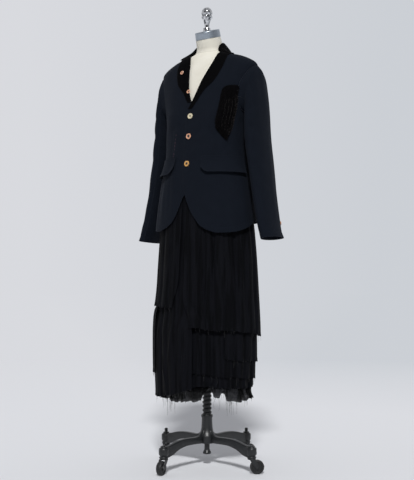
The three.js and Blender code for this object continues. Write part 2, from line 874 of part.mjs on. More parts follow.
add(
  "chest_patch",
  clothWall({
    us: spread(0, 1, 3),
    vs: [1183, 1200, 1222, 1256, 1290, 1320, 1345, 1361],
    thick: 3,
    point: (u, z, depth) =>
      jacketFace(mix(patchEdges.from(z), patchEdges.to(z), u), z, SEAM_GAP + 0.4 + 3 - depth),
  }),
  velvet,
);

// Buttons: turned discs with a raised rim, lying square to the cloth
const buttonProfile = [
  [0, 0],
  [0.72, 0],
  [1, 0.16],
  [0.9, 0.42],
  [0.6, 0.4],
  [0.48, 0.26],
  [0, 0.24],
].map(([r, z]) => [r * BUTTON_RADIUS, z * BUTTON_RADIUS]);

const BUTTON_ROOM = 0.25;
function button(name, place, way, material, size = 1) {
  const piece = add(name, turned(buttonProfile, 9), material);
  piece.scale.setScalar(size);
  piece.position.copy(place);
  piece.quaternion.setFromUnitVectors(vector(0, 0, 1), way);
}

const frontButtons = [
  ["button_1", 1272, creamHorn],
  ["button_2", 1198, copperHorn],
  ["button_3", 1099, amberHorn],
];
for (const [name, z, material] of frontButtons) {
  button(name, jacketFace(0, z, BUTTON_ROOM), normalOf(plainJacket, 0, z), material);
}

// Two more buttons of the row lie on the turned-back right lapel.
const lapelButtons = [
  ["button_4", 17, 1364, 0.72],
  ["button_5", 62, 1442, 0.72],
];
for (const [name, x, z, size] of lapelButtons) {
  const t = angleAt(x, z);
  const place = jacketFace(t, z, underLap(t, z) + LAPEL_ROOM + VELVET + BUTTON_ROOM);
  const way = normalOf(plainJacket, t, z);
  button(name, place.setX(-place.x), way.setX(-way.x), copperHorn, size);
}

// One button at each cuff's back seam.
const CUFF_BUTTON = { turn: 67.5, v: 9 };
for (const [name, side] of [["left", 1], ["right", -1]]) {
  const low = sleevePoint(CUFF_BUTTON.turn, CUFF_BUTTON.v, SEAM_GAP);
  const high = sleevePoint(CUFF_BUTTON.turn, CUFF_BUTTON.v, SEAM_GAP + 1);
  const way = high.sub(low).normalize();
  button(
    "cuff_button_" + name,
    low.setX(side * low.x),
    way.setX(side * way.x),
    copperHorn,
    0.72,
  );
}

// The skirt's outer form, below the jacket and up under it to the waist seam
const skirtSections = table(SECTION, [
  [230, 199, -163, 163, 0, 2.05],
  [380, 206, -168, 168, 0, 2.05],
  [478, 207, -167, 167, 0, 2.05],
  [650, 201, -158, 155, 0, 2.05],
  [830, 190, -146, 140, 1, 2.05],
  [860, 187, -144, 135, 1, 2.1],
  [950, 177, -136, 118, 2, 2.15],
  [WAIST_SEAM, 170, -131, 104, 4, 2.2],
]);

const SKIRT_ROOM = 1.7; // between the jacket's inner face and the skirt's top edge
function skirtForm(t, z) {
  const nearFront = 1 - ease(22, 36, Math.abs(wrap(t)));
  const depth = WOOL + SKIRT_ROOM + (WOOL + SEAM_GAP) * nearFront;
  const inside = offsetFrom(plainJacket, t, z, -depth);
  return sectionPoint(skirtSections, t, z).lerp(inside, ease(950, WAIST_SEAM, z));
}

const skirtFace = (t, z, out) => offsetFrom(skirtForm, t, z, out);

// Straight lines between the rows of a [height, value] table
const lineThrough = (rows) => (z) => {
  const next = rows.findIndex((row) => row[0] >= z);
  if (next <= 0) return next ? rows[rows.length - 1][1] : rows[0][1];
  const [low, high] = [rows[next - 1], rows[next]];
  return mix(low[1], high[1], (z - low[0]) / (high[0] - low[0]));
};

// A layer of the skirt is one wall, from its hem up to its top edge. Its table gives how
// far its outer face lies from the skirt's form at each height; the slip lies innermost.
const slipTable = [
  [230, -21],
  [280, -31],
  [460, -31],
  [650, -29],
  [860, -19],
  [WAIST_SEAM, -4],
];
const slipDepth = lineThrough(slipTable);
const ON_SLIP = GAUZE + SEAM_GAP;
// The slip is straight between its rows, so it lies a little further in between them.
const onSlip = (z, further = 0) => [z, slipDepth(z) + ON_SLIP - further];

// Folds hang straight down, uneven in width, and fade towards the layer's top edge.
function foldAt(layer, t, z) {
  const top = layer.depth[layer.depth.length - 1][0];
  const sway = 0.7 * Math.sin(radians(3 * t + 70 * layer.folds.seed));
  const wave = Math.sin(radians(layer.folds.count * t) + sway + layer.folds.seed);
  return layer.folds.deep * wave * ease(top, top - layer.folds.fade, z);
}

function skirtLayer(layer) {
  const { from, to, hem, columns, closed = false, tuck = () => 0, fold = foldAt } = layer;
  const depthAt = lineThrough(layer.depth);
  const angles = spread(from, to, columns);
  const highestHem = Math.max(...angles.map(hem));
  return clothWall({
    us: closed ? angles.slice(0, -1) : angles,
    vs: [0, ...layer.depth.map((row) => row[0]).filter((z) => z > highestHem + 5)],
    closed,
    thick: GAUZE,
    point: (t, height, below) => {
      const z = height || hem(t);
      return skirtFace(t, z, depthAt(z) + fold(layer, t, z) + tuck(t, z) - below);
    },
  });
}

const hemLine = (points) => table(["t", "z"], points).z;
const wavy = (level, height, waves, seed) => (t) => level + height * Math.sin(radians(waves * t) + seed);

// The slip is sewn from a front and a back. Ruffles stand out at its hem, below the tiers.
const ruffle = (layer, t, z) => {
  const wave = Math.sin(radians(40 * t) + 0.8 * Math.sin(radians(5 * t)));
  return 5 * wave * (1 - ease(252, 276, z));
};
const slip = { depth: slipTable, hem: wavy(250, 8, 5, 1.2), columns: 40, fold: ruffle };

const layers = {
  slip_front: { ...slip, from: -89.9, to: 89.9 },
  slip_back: { ...slip, from: 90.1, to: 269.9 },
  overlay_left: {
    from: 14,
    to: 196,
    columns: 42,
    folds: { count: 28, deep: 3, fade: 110, seed: 0.4 },
    hem: hemLine([[14, 509], [30, 499], [60, 497], [120, 474], [196, 486]]),
    depth: [[400, 0], [650, 0], [860, 0], [WAIST_SEAM, 0]],
  },
  overlay_right: {
    from: 186,
    to: 356,
    columns: 40,
    folds: { count: 28, deep: 2.6, fade: 110, seed: 1.9 },
    hem: hemLine([[186, 556], [240, 566], [300, 574], [356, 572]]),
    depth: [[400, 0], [650, 0], [860, 0], [WAIST_SEAM, 0]],
    tuck: (t, z) => -(1.75 + 5.5 * ease(WAIST_SEAM, 920, z)) * (1 - ease(197, 204, t)),
  },
  long_panel: {
    from: -40,
    to: 11,
    columns: 20,
    folds: { count: 42, deep: 2.2, fade: 120, seed: 3.1 },
    hem: hemLine([[-40, 248], [-22, 261], [-4, 284], [11, 292]]),
    depth: [[240, 0], [500, -1], [585, -7.5], [860, -8], [WAIST_SEAM, -1.8]],
  },
  side_panel: {
    from: 206,
    to: 317,
    columns: 32,
    folds: { count: 28, deep: 2.2, fade: 150, seed: 4.2 },
    hem: hemLine([[206, 352], [250, 360], [317, 342]]),
    depth: [[340, 3], [500, 2], [550, -7.5], onSlip(660)],
  },
  tier_upper: {
    from: 47,
    to: 210,
    columns: 34,
    folds: { count: 24, deep: 1.8, fade: 130, seed: 5.3 },
    hem: hemLine([[47, 397], [70, 391], [120, 382], [210, 400]]),
    depth: [[380, -13], [500, -14], onSlip(620)],
  },
  tier_middle: {
    from: 4,
    to: 214,
    columns: 42,
    folds: { count: 24, deep: 1.6, fade: 120, seed: 0.9 },
    hem: hemLine([[4, 351], [12, 349], [50, 336], [120, 320], [214, 330]]),
    depth: [[320, -19], [470, -20], onSlip(575, 0.7)],
  },
  tier_lower: {
    from: 0,
    to: 360,
    columns: 60,
    closed: true,
    folds: { count: 20, deep: 1.4, fade: 120, seed: 2.2 },
    hem: wavy(290, 4, 3, 0.4),
    depth: [[285, -25], [440, -26], onSlip(520, 0.7)],
  },
};

for (const [name, layer] of Object.entries(layers)) {
  add(name, skirtLayer(layer), name.startsWith("slip") ? sheer : gauze);
}

export default model;
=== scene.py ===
# %% [markdown]
# # A coat dress on a tailor's form
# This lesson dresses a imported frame. The frame holds the solids at their real size, and
# every piece made here stands for one of them, so nothing has to be fitted afterwards.
# Cloth is drafted in millimetres, as a pattern is, and turned to metres when it is placed.

# %% Load the frame
import math

import bpy
import numpy as np
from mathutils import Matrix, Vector


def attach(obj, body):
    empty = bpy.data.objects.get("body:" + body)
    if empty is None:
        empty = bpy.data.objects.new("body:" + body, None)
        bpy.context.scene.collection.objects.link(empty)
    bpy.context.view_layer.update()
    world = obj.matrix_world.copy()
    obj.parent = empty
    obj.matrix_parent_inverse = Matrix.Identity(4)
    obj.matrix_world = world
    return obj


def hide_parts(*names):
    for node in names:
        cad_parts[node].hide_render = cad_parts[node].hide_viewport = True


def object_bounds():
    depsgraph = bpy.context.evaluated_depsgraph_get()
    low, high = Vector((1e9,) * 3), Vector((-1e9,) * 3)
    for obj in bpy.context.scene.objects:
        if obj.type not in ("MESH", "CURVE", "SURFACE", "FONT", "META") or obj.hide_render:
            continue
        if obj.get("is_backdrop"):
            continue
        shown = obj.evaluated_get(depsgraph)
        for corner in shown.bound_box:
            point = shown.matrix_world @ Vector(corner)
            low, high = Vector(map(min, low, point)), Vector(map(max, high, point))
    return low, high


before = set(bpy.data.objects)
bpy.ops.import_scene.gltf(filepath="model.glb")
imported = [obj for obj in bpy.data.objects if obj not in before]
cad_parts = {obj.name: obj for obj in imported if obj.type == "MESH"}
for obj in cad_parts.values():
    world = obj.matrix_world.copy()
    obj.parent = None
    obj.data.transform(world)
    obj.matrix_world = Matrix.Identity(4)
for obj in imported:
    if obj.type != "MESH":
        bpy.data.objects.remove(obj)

cad_low, cad_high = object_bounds()
MM = 0.001
print("frame", [round(x, 3) for x in cad_low], [round(x, 3) for x in cad_high])

# %% [markdown]
# ## The camera
# A garment is photographed with a long lens from a few metres, here from about the height
# of the knee. The camera is kept level, so that upright lines stay upright, and the lens is
# shifted up a little instead. The camera stands on a circle round the post: an angle and a
# distance are easier to correct than a place moved by hand.

# %% Set the camera
VIEW_AZIMUTH = math.radians(33)
VIEW_DISTANCE = 3.3
VIEW_HEIGHT = 0.666
VIEW_SHIFT = 45 / 480  # of the picture's height

bpy.ops.object.select_all(action="DESELECT")
bpy.ops.object.camera_add(
    location=(
        VIEW_DISTANCE * math.sin(VIEW_AZIMUTH),
        -VIEW_DISTANCE * math.cos(VIEW_AZIMUTH),
        VIEW_HEIGHT,
    ),
    rotation=(math.pi / 2, 0, VIEW_AZIMUTH),
)
camera = bpy.context.object
camera.data.lens = 67
camera.data.sensor_width = 36
camera.data.shift_y = VIEW_SHIFT
bpy.context.scene.camera = camera
print("camera", [round(x, 3) for x in camera.location])

# %% [markdown]
# ## Sums on sockets
# A finish is a small sum: a colour, plus a little noise, less some wear. Wiring Math nodes
# for that is slow to write and hard to read. The class below wraps a socket, so that a sum
# on sockets is written as a sum on numbers is, and each sign adds its own Math node.

# %% A socket that can be reckoned with
class Amount:
    """A value that may change over a surface."""

    def __init__(self, finish, socket):
        self.finish = finish
        self.socket = socket

    def _sum(self, operation, *values):
        node = self.finish.node("ShaderNodeMath", {"operation": operation}, dict(enumerate(values)))
        return Amount(self.finish, node.outputs[0])

    def __add__(self, other):
        return self._sum("ADD", self, other)

    def __sub__(self, other):
        return self._sum("SUBTRACT", self, other)

    def __rsub__(self, other):
        return self._sum("SUBTRACT", other, self)

    def __mul__(self, other):
        return self._sum("MULTIPLY", self, other)

    def held(self):
        """The value kept from 0 to 1."""
        kept = self._sum("ADD", self, 0.0)
        kept.socket.node.use_clamp = True
        return kept

    __radd__ = __add__


def fill(tree, socket, value):
    """Wires a value into a socket, or writes it there if it is a constant."""
    if isinstance(value, Amount):
        value = value.socket
    if isinstance(value, bpy.types.NodeSocket):
        tree.links.new(value, socket)
    else:
        socket.default_value = value


def add_node(tree, kind, settings=None, values=None):
    """A new node, with its settings and what goes into its sockets."""
    made = tree.nodes.new(kind)
    for name, value in (settings or {}).items():
        setattr(made, name, value)
    for name, value in (values or {}).items():
        fill(tree, made.inputs[name], value)
    return made


# %% A finish and its nodes
class Finish:
    """A material, with short ways to add what wool, iron and horn need."""

    def __init__(self, name, roughness=0.8, metallic=0.0, **fixed):
        self.material = bpy.data.materials.new(name)
        self.material.use_nodes = True
        self.tree = self.material.node_tree
        self.shader = self.tree.nodes["Principled BSDF"]
        self.set("Roughness", roughness)
        self.set("Metallic", metallic)
        for socket, value in fixed.items():
            self.set(socket.replace("_", " "), value)

    def set(self, name, value):
        fill(self.tree, self.shader.inputs[name], value)

    def node(self, kind, settings=None, values=None):
        return add_node(self.tree, kind, settings, values)

    def pattern_place(self, stretch=(1, 1, 1)):
        """Where a point is on the flat cloth, in metres."""
        flat = self.node("ShaderNodeUVMap", {"uv_map": "UVMap"}).outputs["UV"]
        return self.node("ShaderNodeMapping", None, {"Vector": flat, "Scale": stretch}).outputs[0]

    def solid_place(self, stretch=(1, 1, 1)):
        """Where a point is in the room, in metres."""
        room = self.node("ShaderNodeTexCoord").outputs["Object"]
        return self.node("ShaderNodeMapping", None, {"Vector": room, "Scale": stretch}).outputs[0]

    def noise(self, place, size, detail=3.0, rough=0.55):
        """Soft random mottling whose lumps are about that many millimetres."""
        values = {"Vector": place, "Scale": 1 / (size * MM), "Detail": detail, "Roughness": rough}
        return Amount(self, self.node("ShaderNodeTexNoise", None, values).outputs[0])

    def lines(self, place, apart, across="X", wobble=0.0):
        """Even ridges, that many millimetres apart."""
        settings = {"bands_direction": across, "wave_profile": "SIN"}
        scale = math.pi / (10 * apart * MM)
        values = {"Vector": place, "Scale": scale, "Distortion": wobble}
        return Amount(self, self.node("ShaderNodeTexWave", settings, values).outputs["Fac"])

    def between(self, low, high, share):
        """A colour between two, by a share."""
        settings = {"data_type": "RGBA", "clamp_factor": True}
        ground = low if isinstance(low, bpy.types.NodeSocket) else (*low, 1)
        values = {0: share, 6: ground, 7: (*high, 1)}
        return self.node("ShaderNodeMix", settings, values).outputs[2]

    def relief(self, height, millimetres, strength=1.0):
        values = {"Height": height, "Distance": millimetres * MM, "Strength": strength}
        self.set("Normal", self.node("ShaderNodeBump", None, values).outputs[0])

    def edge_share(self, reach):
        """1 at a sheet's cut edge, falling to 0 that many millimetres in."""
        distance = self.node("ShaderNodeAttribute", {"attribute_name": "edge"}).outputs["Fac"]
        return (1 - Amount(self, distance) * (1 / (reach * MM))).held()


# %% [markdown]
# ## The room
# The studio is one pale floor that runs on into pale air. The floor's own colour gives way
# to the colour of the air far out, so no horizon shows. What lights the dress is another
# air: bright round the backdrop and dim behind the camera, as in a real studio, so metal
# and folds have something dark to show. A wide sun behind the camera casts the legs'
# shadows and the broad one behind the skirt, and a weak lamp at the left softens them.

# %% The air
AIR_LEFT = (0.69, 0.70, 0.735)
AIR_RIGHT = (0.60, 0.625, 0.665)
LIT_BEHIND = 0.58
LIT_AHEAD = 0.16
ACROSS = (math.cos(VIEW_AZIMUTH), math.sin(VIEW_AZIMUTH), 0)
AWAY = (-math.sin(VIEW_AZIMUTH), math.cos(VIEW_AZIMUTH), 0)
SPREAD = 2.6  # how quickly the air changes from left to right

bpy.context.scene.view_settings.view_transform = "Standard"
world = bpy.data.worlds.new("studio_air")
bpy.context.scene.world = world
world.use_nodes = True
air = world.node_tree


def share_along(way, low, high):
    """0 to 1 as the air's direction turns from low to high along a way."""
    here = add_node(air, "ShaderNodeTexCoord").outputs["Generated"]
    along = add_node(air, "ShaderNodeVectorMath", {"operation": "DOT_PRODUCT"}, {0: here, 1: way})
    ends = {0: along.outputs["Value"], 1: low, 2: high}
    return add_node(air, "ShaderNodeMapRange", {"clamp": True}, ends).outputs[0]


def glowing(share, low, high):
    """Air whose colour goes from low to high by a share."""
    colours = {0: share, 6: (*low, 1), 7: (*high, 1)}
    colour = add_node(air, "ShaderNodeMix", {"data_type": "RGBA"}, colours).outputs[2]
    return add_node(air, "ShaderNodeBackground", None, {0: colour}).outputs[0]


seen_air = glowing(share_along(ACROSS, -0.5 / SPREAD, 0.5 / SPREAD), AIR_LEFT, AIR_RIGHT)
lit_air = glowing(
    share_along(AWAY, -0.75, 0.6), (LIT_AHEAD, LIT_AHEAD, LIT_AHEAD * 1.06),
    (LIT_BEHIND, LIT_BEHIND * 1.01, LIT_BEHIND * 1.05),
)
to_camera = add_node(air, "ShaderNodeLightPath").outputs["Is Camera Ray"]
both = add_node(air, "ShaderNodeMixShader", None, {0: to_camera, 1: lit_air, 2: seen_air})
air.links.new(both.outputs[0], air.nodes["World Output"].inputs[0])
print("air", AIR_LEFT, AIR_RIGHT)

# %% The floor
FLOOR_COLOUR = (0.735, 0.745, 0.77)
FLOOR_REACH = 60.0
FADE_FROM, FADE_OVER = 1.6, 3.2

bpy.ops.object.select_all(action="DESELECT")
bpy.ops.mesh.primitive_circle_add(vertices=64, radius=FLOOR_REACH, fill_type="NGON")
floor = bpy.context.object
floor.name = "studio_floor"
painted = Finish("studio_paint", roughness=0.8)
painted.set("Base Color", (*FLOOR_COLOUR, 1))
painted.set("Specular IOR Level", 0.1)
spot = painted.solid_place()
far_off = painted.node("ShaderNodeVectorMath", {"operation": "LENGTH"}, {0: spot})
fade = ((Amount(painted, far_off.outputs["Value"]) - FADE_FROM) * (1 / FADE_OVER)).held()
way = painted.node("ShaderNodeVectorMath", {"operation": "NORMALIZE"}, {0: spot})
turned_to = painted.node("ShaderNodeVectorMath", {"operation": "DOT_PRODUCT"}, {0: way.outputs[0], 1: ACROSS})
side_share = (Amount(painted, turned_to.outputs["Value"]) * SPREAD + 0.5).held()
glow_colour = painted.between(AIR_LEFT, AIR_RIGHT, side_share)
glow = painted.node("ShaderNodeEmission", None, {"Color": glow_colour, "Strength": 1.0})
blend = painted.node(
    "ShaderNodeMixShader", None, {0: fade, 1: painted.shader.outputs[0], 2: glow.outputs[0]}
)
painted.tree.links.new(blend.outputs[0], painted.tree.nodes["Material Output"].inputs[0])
floor.data.materials.append(painted.material)
floor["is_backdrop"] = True
print("floor radius", FLOOR_REACH)

# %% The lamps
KEY_TURN, KEY_RISE, KEY_WIDE, KEY_POWER = 33, 41, 8.5, 2.75
LEFT_TURN, LEFT_RISE, LEFT_AWAY, LEFT_WIDE, LEFT_WATTS = -50, 25, 4.0, 1.4, 1.5
AIM = 0.75  # the height that the left lamp looks at


def lamp(kind, name, turn, rise, distance=0.0):
    """A lamp that looks at the dress, from an azimuth and a height in degrees."""
    turn, rise = math.radians(turn), math.radians(rise)
    level, target = distance * math.cos(rise), AIM if distance else 0
    bpy.ops.object.light_add(
        type=kind,
        location=(level * math.sin(turn), -level * math.cos(turn), target + distance * math.sin(rise)),
        rotation=(math.pi / 2 - rise, 0, turn),
    )
    made = bpy.context.object
    made.name = name
    return made.data


key = lamp("SUN", "key_lamp", KEY_TURN, KEY_RISE)
key.energy = KEY_POWER
key.angle = math.radians(KEY_WIDE)
left = lamp("AREA", "left_lamp", LEFT_TURN, LEFT_RISE, LEFT_AWAY)
left.energy = LEFT_WATTS
left.size = LEFT_WIDE

# %% [markdown]
# ## Drafting the body
# A dress form is a stack of rounded cross-sections. Each is given by its half width, how
# far its front and back lie, and how square it is, and a smooth curve runs between them.
# The jacket and the skirt are drafted on their own stacks, so the cloth lies where the
# frame's solids lie. Angles go round the body from the centre front, 90 being the
# wearer's left side.

# %% Curves through a few sizes
def ease(start, end, x):
    s = np.clip((x - start) / (end - start), 0, 1)
    return s * s * (3 - 2 * s)


def mix(a, b, share):
    return a + (b - a) * share


def curve_through(xs, ys):
    """A smooth curve through points, flat where it turns."""
    xs, ys = np.array(xs, float), np.array(ys, float)
    slopes = np.diff(ys) / np.diff(xs)
    tangents = np.concatenate([slopes[:1], (slopes[:-1] + slopes[1:]) / 2, slopes[-1:]])
    tangents[1:-1][slopes[:-1] * slopes[1:] <= 0] = 0

    def at(x):
        x = np.clip(x, xs[0], xs[-1])
        i = np.clip(np.searchsorted(xs, x, side="right") - 1, 0, len(xs) - 2)
        width = xs[i + 1] - xs[i]
        s = (x - xs[i]) / width
        return (
            ys[i] * (1 + 2 * s) * (1 - s) ** 2
            + tangents[i] * width * s * (1 - s) ** 2
            + ys[i + 1] * s * s * (3 - 2 * s)
            + tangents[i + 1] * width * s * s * (s - 1)
        )

    return at


def table(rows):
    """One curve for each column after the first."""
    columns = list(zip(*rows))
    return [curve_through(columns[0], column) for column in columns[1:]]


# %% Cross-sections of jacket, form, neck and skirt
# height: half width, front, back, middle, squareness
jacket_sections = table([
    (845, 203, -153, 147, 2, 2.2), (880, 199, -151, 142, 2, 2.2), (970, 187, -144, 127, 4, 2.2),
    (1050, 174, -137, 112, 6, 2.2), (1100, 166, -131, 104, 8, 2.2), (1160, 159, -124, 101, 9, 2.25),
    (1236, 157, -115, 106, 10, 2.3), (1290, 165, -106, 110, 12, 2.3), (1345, 180, -96, 110, 14, 2.25),
    (1400, 194, -83, 106, 16, 2.15), (1430, 199, -74, 102, 17, 2.1), (1455, 197, -66, 97, 18, 2),
    (1475, 182, -58, 92, 19, 2), (1488, 162, -52, 89, 20, 2), (1499, 137, -46, 86, 21, 2),
    (1513, 90, -36, 80, 23, 2), (1520, 72, -30, 76, 24, 2),
])
FORM_BASE = 800
form_sections = table([
    (FORM_BASE, 150, -92, 96, 4, 2.2), (860, 157, -101, 106, 4, 2.2), (920, 158, -103, 108, 4, 2.2),
    (1000, 148, -99, 97, 4, 2.2), (1080, 124, -88, 78, 4, 2.2), (1120, 118, -84, 72, 4, 2.2),
    (1180, 124, -88, 78, 6, 2.2), (1236, 136, -92, 88, 8, 2.25), (1290, 146, -92, 96, 10, 2.3),
    (1345, 152, -88, 100, 12, 2.3), (1400, 168, -79, 99, 15, 2.2), (1450, 186, -64, 94, 18, 2),
])
neck_sections = table([
    (1513, 84, -31, 76, 23, 2), (1520, 64, -26, 71, 25, 2), (1531, 54, -25, 70, 24, 2),
    (1550, 48.5, -29, 65, 18, 2), (1578, 45.5, -36, 54.5, 9, 2), (1605, 44, -43.5, 44.5, 0.5, 2),
])
WAIST_SEAM = 1030
skirt_sections = table([
    (230, 199, -163, 163, 0, 2.05), (380, 206, -168, 168, 0, 2.05), (478, 207, -167, 167, 0, 2.05),
    (650, 201, -158, 155, 0, 2.05), (830, 190, -146, 140, 1, 2.05), (860, 187, -144, 135, 1, 2.1),
    (950, 177, -136, 118, 2, 2.15), (WAIST_SEAM, 170, -131, 104, 4, 2.2),
])
print("waist girth about", round(2 * math.pi * 157 * 0.85), "mm")


# %% Points on the body
def section_point(sections, t, z):
    half, front, back, middle, square = [curve(z) for curve in sections]
    side, ahead = np.sin(np.radians(t)), np.cos(np.radians(t))
    k = (np.abs(side) ** square + np.abs(ahead) ** square) ** (-1 / square)
    depth = np.where(ahead > 0, middle - front, back - middle)
    return np.stack([half * side * k, middle - depth * ahead * k, z + 0 * t], -1)


def unit(vectors):
    return vectors / np.maximum(np.linalg.norm(vectors, axis=-1, keepdims=True), 1e-12)


def normal_of(surface, t, z):
    across = surface(t + 0.5, z) - surface(t - 0.5, z)
    up = surface(t, z + 1) - surface(t, z - 1)
    return unit(np.cross(across, up))


def offset_from(surface, t, z, out):
    return surface(t, z) + normal_of(surface, t, z) * np.asarray(out)[..., None]


def upward(lift):
    """A move straight up, for each point."""
    return np.stack([0 * lift, 0 * lift, lift], -1)


def wrap(t):
    return (t + 180) % 360 - 180


BUST_TURN, BUST_HEIGHT, BUST_WIDE, BUST_TALL = 33, 1268, 15, 42
BUST_OF_JACKET, BUST_OF_FORM = 7, 17


def bust_at(t, z):
    across = (np.abs(t) - BUST_TURN) / BUST_WIDE
    along = (z - BUST_HEIGHT) / BUST_TALL
    return np.exp(-across * across - along * along)


def plain_jacket(t, z):
    return section_point(jacket_sections, t, z)


def shoulder_pad(t, z):
    """The jacket's own fullness, where its shoulder passes into the sleeve."""
    return 5 * np.exp(-(((np.abs(wrap(t)) - 88) / 26) ** 2) - ((z - 1459) / 17) ** 2)


def jacket_face(t, z, out=0.0):
    t, z = np.broadcast_arrays(np.asarray(t, float), np.asarray(z, float))
    full = BUST_OF_JACKET * bust_at(wrap(t), z) + shoulder_pad(t, z)
    return offset_from(plain_jacket, t, z, out + full)


def angle_at(x, z):
    """How far round the jacket a point is that lies x across from the centre."""
    z = np.asarray(z, float)
    low, high = np.full(z.shape, -89.0), np.full(z.shape, 89.0)
    for _ in range(30):
        t = (low + high) / 2
        short = jacket_face(t, z)[..., 0] < x
        low, high = np.where(short, t, low), np.where(short, high, t)
    return (low + high) / 2


print("bust point", jacket_face(BUST_TURN, BUST_HEIGHT).round(1))


# %% [markdown]
# ## Working on meshes
# Blender's operators act on whatever is selected, so each helper starts with nothing
# selected. A hard piece is turned on a lathe or extruded, as by hand. A sheet of cloth
# starts as a grid, its points are laid on the draft, and Solidify gives it its thickness.
# The grid's map is set to the lengths along the cloth, so a weave keeps its size.

# %% Small steps that every piece needs
def start_clean():
    if bpy.context.object and bpy.context.object.mode != "OBJECT":
        bpy.ops.object.mode_set(mode="OBJECT")
    bpy.ops.object.select_all(action="DESELECT")


def work_on(piece):
    start_clean()
    bpy.context.view_layer.objects.active = piece
    piece.select_set(True)


def apply_modifier(piece, kind, **settings):
    work_on(piece)
    made = piece.modifiers.new(kind.lower(), kind)
    for name, value in settings.items():
        setattr(made, name, value)
    bpy.ops.object.modifier_apply(modifier=made.name)


def settle(piece):
    """Puts the piece's place into its mesh."""
    work_on(piece)
    bpy.ops.object.transform_apply(location=True, rotation=True, scale=True)


def edit_all():
    bpy.ops.object.mode_set(mode="EDIT")
    bpy.ops.mesh.select_all(action="SELECT")


def fill_ends():
    """Closes every open end of the mesh that is being edited."""
    bpy.ops.mesh.select_all(action="DESELECT")
    bpy.ops.mesh.select_non_manifold()
    bpy.ops.mesh.fill_holes(sides=0)


def face_out(piece, merge=1e-6):
    work_on(piece)
    edit_all()
    bpy.ops.mesh.remove_doubles(threshold=merge)
    bpy.ops.mesh.normals_make_consistent(inside=False)
    bpy.ops.object.mode_set(mode="OBJECT")


def smooth(piece, degrees=35):
    work_on(piece)
    bpy.ops.object.shade_smooth_by_angle(angle=math.radians(degrees))


def dress(piece, name, finish, body, node=None):
    """Names a finished piece, gives it its finish, hangs it on its body and hides the frame's part that it
    stands for.
    """
    piece.name = name
    piece.data.name = name
    piece.data.materials.clear()
    piece.data.materials.append(finish.material)
    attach(piece, body)
    if node:
        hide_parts(node)
    return piece


def copy_of(piece):
    """A copy with a mesh of its own."""
    twin = piece.copy()
    twin.data = piece.data.copy()
    bpy.context.scene.collection.objects.link(twin)
    return twin


# %% Turning on a lathe
def turned(profile, sides=64, ring=False):
    """A piece turned about Z, from [radius, height] pairs in millimetres; a ring meets itself."""
    start_clean()
    radius, foot = profile[0]
    bpy.ops.mesh.primitive_circle_add(vertices=sides, radius=radius * MM, location=(0, 0, foot * MM))
    piece = bpy.context.object
    settle(piece)
    edit_all()
    for next_radius, level in profile[1:]:
        step = (0, 0, (level - foot) * MM)
        bpy.ops.mesh.extrude_region_move(TRANSFORM_OT_translate={"value": step})
        share = next_radius / radius
        bpy.ops.transform.resize(value=(share, share, 1), center_override=(0, 0, level * MM))
        radius, foot = next_radius, level
    bpy.ops.mesh.select_all(action="SELECT")
    bpy.ops.mesh.remove_doubles(threshold=2e-6)
    if not ring:
        fill_ends()
    bpy.ops.object.mode_set(mode="OBJECT")
    face_out(piece)
    return piece


def curved(profile, steps=5):
    """More points on a smooth line through a profile's points."""
    points = np.array(profile, float)
    made = []
    for i in range(len(points) - 1):
        a, b = points[i], points[i + 1]
        p = points[max(i - 1, 0)]
        q = points[min(i + 2, len(points) - 1)]
        for s in np.arange(steps) / steps:
            made.append(
                0.5 * (2 * a + (b - p) * s + (2 * p - 5 * a + 4 * b - q) * s**2
                       + (3 * a - p - 3 * b + q) * s**3)
            )
    made.append(points[-1])
    return [(max(r, 0.05), z) for r, z in made]


def welded(base, *others):
    """Several closed pieces cast as one."""
    for other in others:
        apply_modifier(base, "BOOLEAN", operation="UNION", solver="EXACT", object=other)
        bpy.data.objects.remove(other)
    return base


# %% Laying a grid on the draft
def grid_points(piece):
    """The grid's own shares, across and up, as arrays of rows by columns."""
    flat = np.zeros(len(piece.data.vertices) * 3)
    piece.data.vertices.foreach_get("co", flat)
    flat = flat.reshape(-1, 3)
    columns = len(np.unique(flat[:, 0].round(6)))
    u, v = [(flat[:, axis] + 1).reshape(-1, columns) / 2 for axis in (0, 1)]
    return np.clip(u, 0, 1), np.clip(v, 0, 1)


def lay_grid(columns, rows, place, inward=False):
    """A grid whose points place(u, v) puts on the draft, with a map and an edge measure."""
    start_clean()
    bpy.ops.mesh.primitive_grid_add(x_subdivisions=columns, y_subdivisions=rows, size=2)
    piece = bpy.context.object
    u, v = grid_points(piece)
    points = place(u, v) * MM
    piece.data.vertices.foreach_set("co", points.reshape(-1))
    across = np.linalg.norm(np.diff(points, axis=1), axis=-1)
    up = np.linalg.norm(np.diff(points, axis=0), axis=-1)
    along = np.concatenate([np.zeros((len(points), 1)), np.cumsum(across, 1)], 1)
    rise = np.concatenate([np.zeros((1, points.shape[1])), np.cumsum(up, 0)], 0)
    edge = np.minimum(
        np.minimum(along, along[:, -1:] - along), np.minimum(rise, rise[-1:] - rise)
    )
    middle = points.shape[1] // 2
    flat = np.stack([along - along[:, middle:middle + 1], rise], -1).reshape(-1, 2)
    corner_of = np.zeros(len(piece.data.loops), int)
    piece.data.loops.foreach_get("vertex_index", corner_of)
    piece.data.uv_layers[0].name = "UVMap"
    piece.data.uv_layers[0].data.foreach_set("uv", flat[corner_of].reshape(-1))
    piece.data.attributes.new("edge", "FLOAT", "POINT").data.foreach_set("value", edge.reshape(-1))
    facing = np.cross(points[1:, :-1] - points[:-1, :-1], points[:-1, 1:] - points[:-1, :-1])
    away = points[:-1, :-1] * (1, 1, 0)
    if ((-facing * away).sum() < 0) != inward:
        piece.data.flip_normals()
    piece.data.update()
    area = float(np.linalg.norm(facing, axis=-1).sum())
    return piece, (float(along[:, -1].max()), float(rise[-1].max()), area)


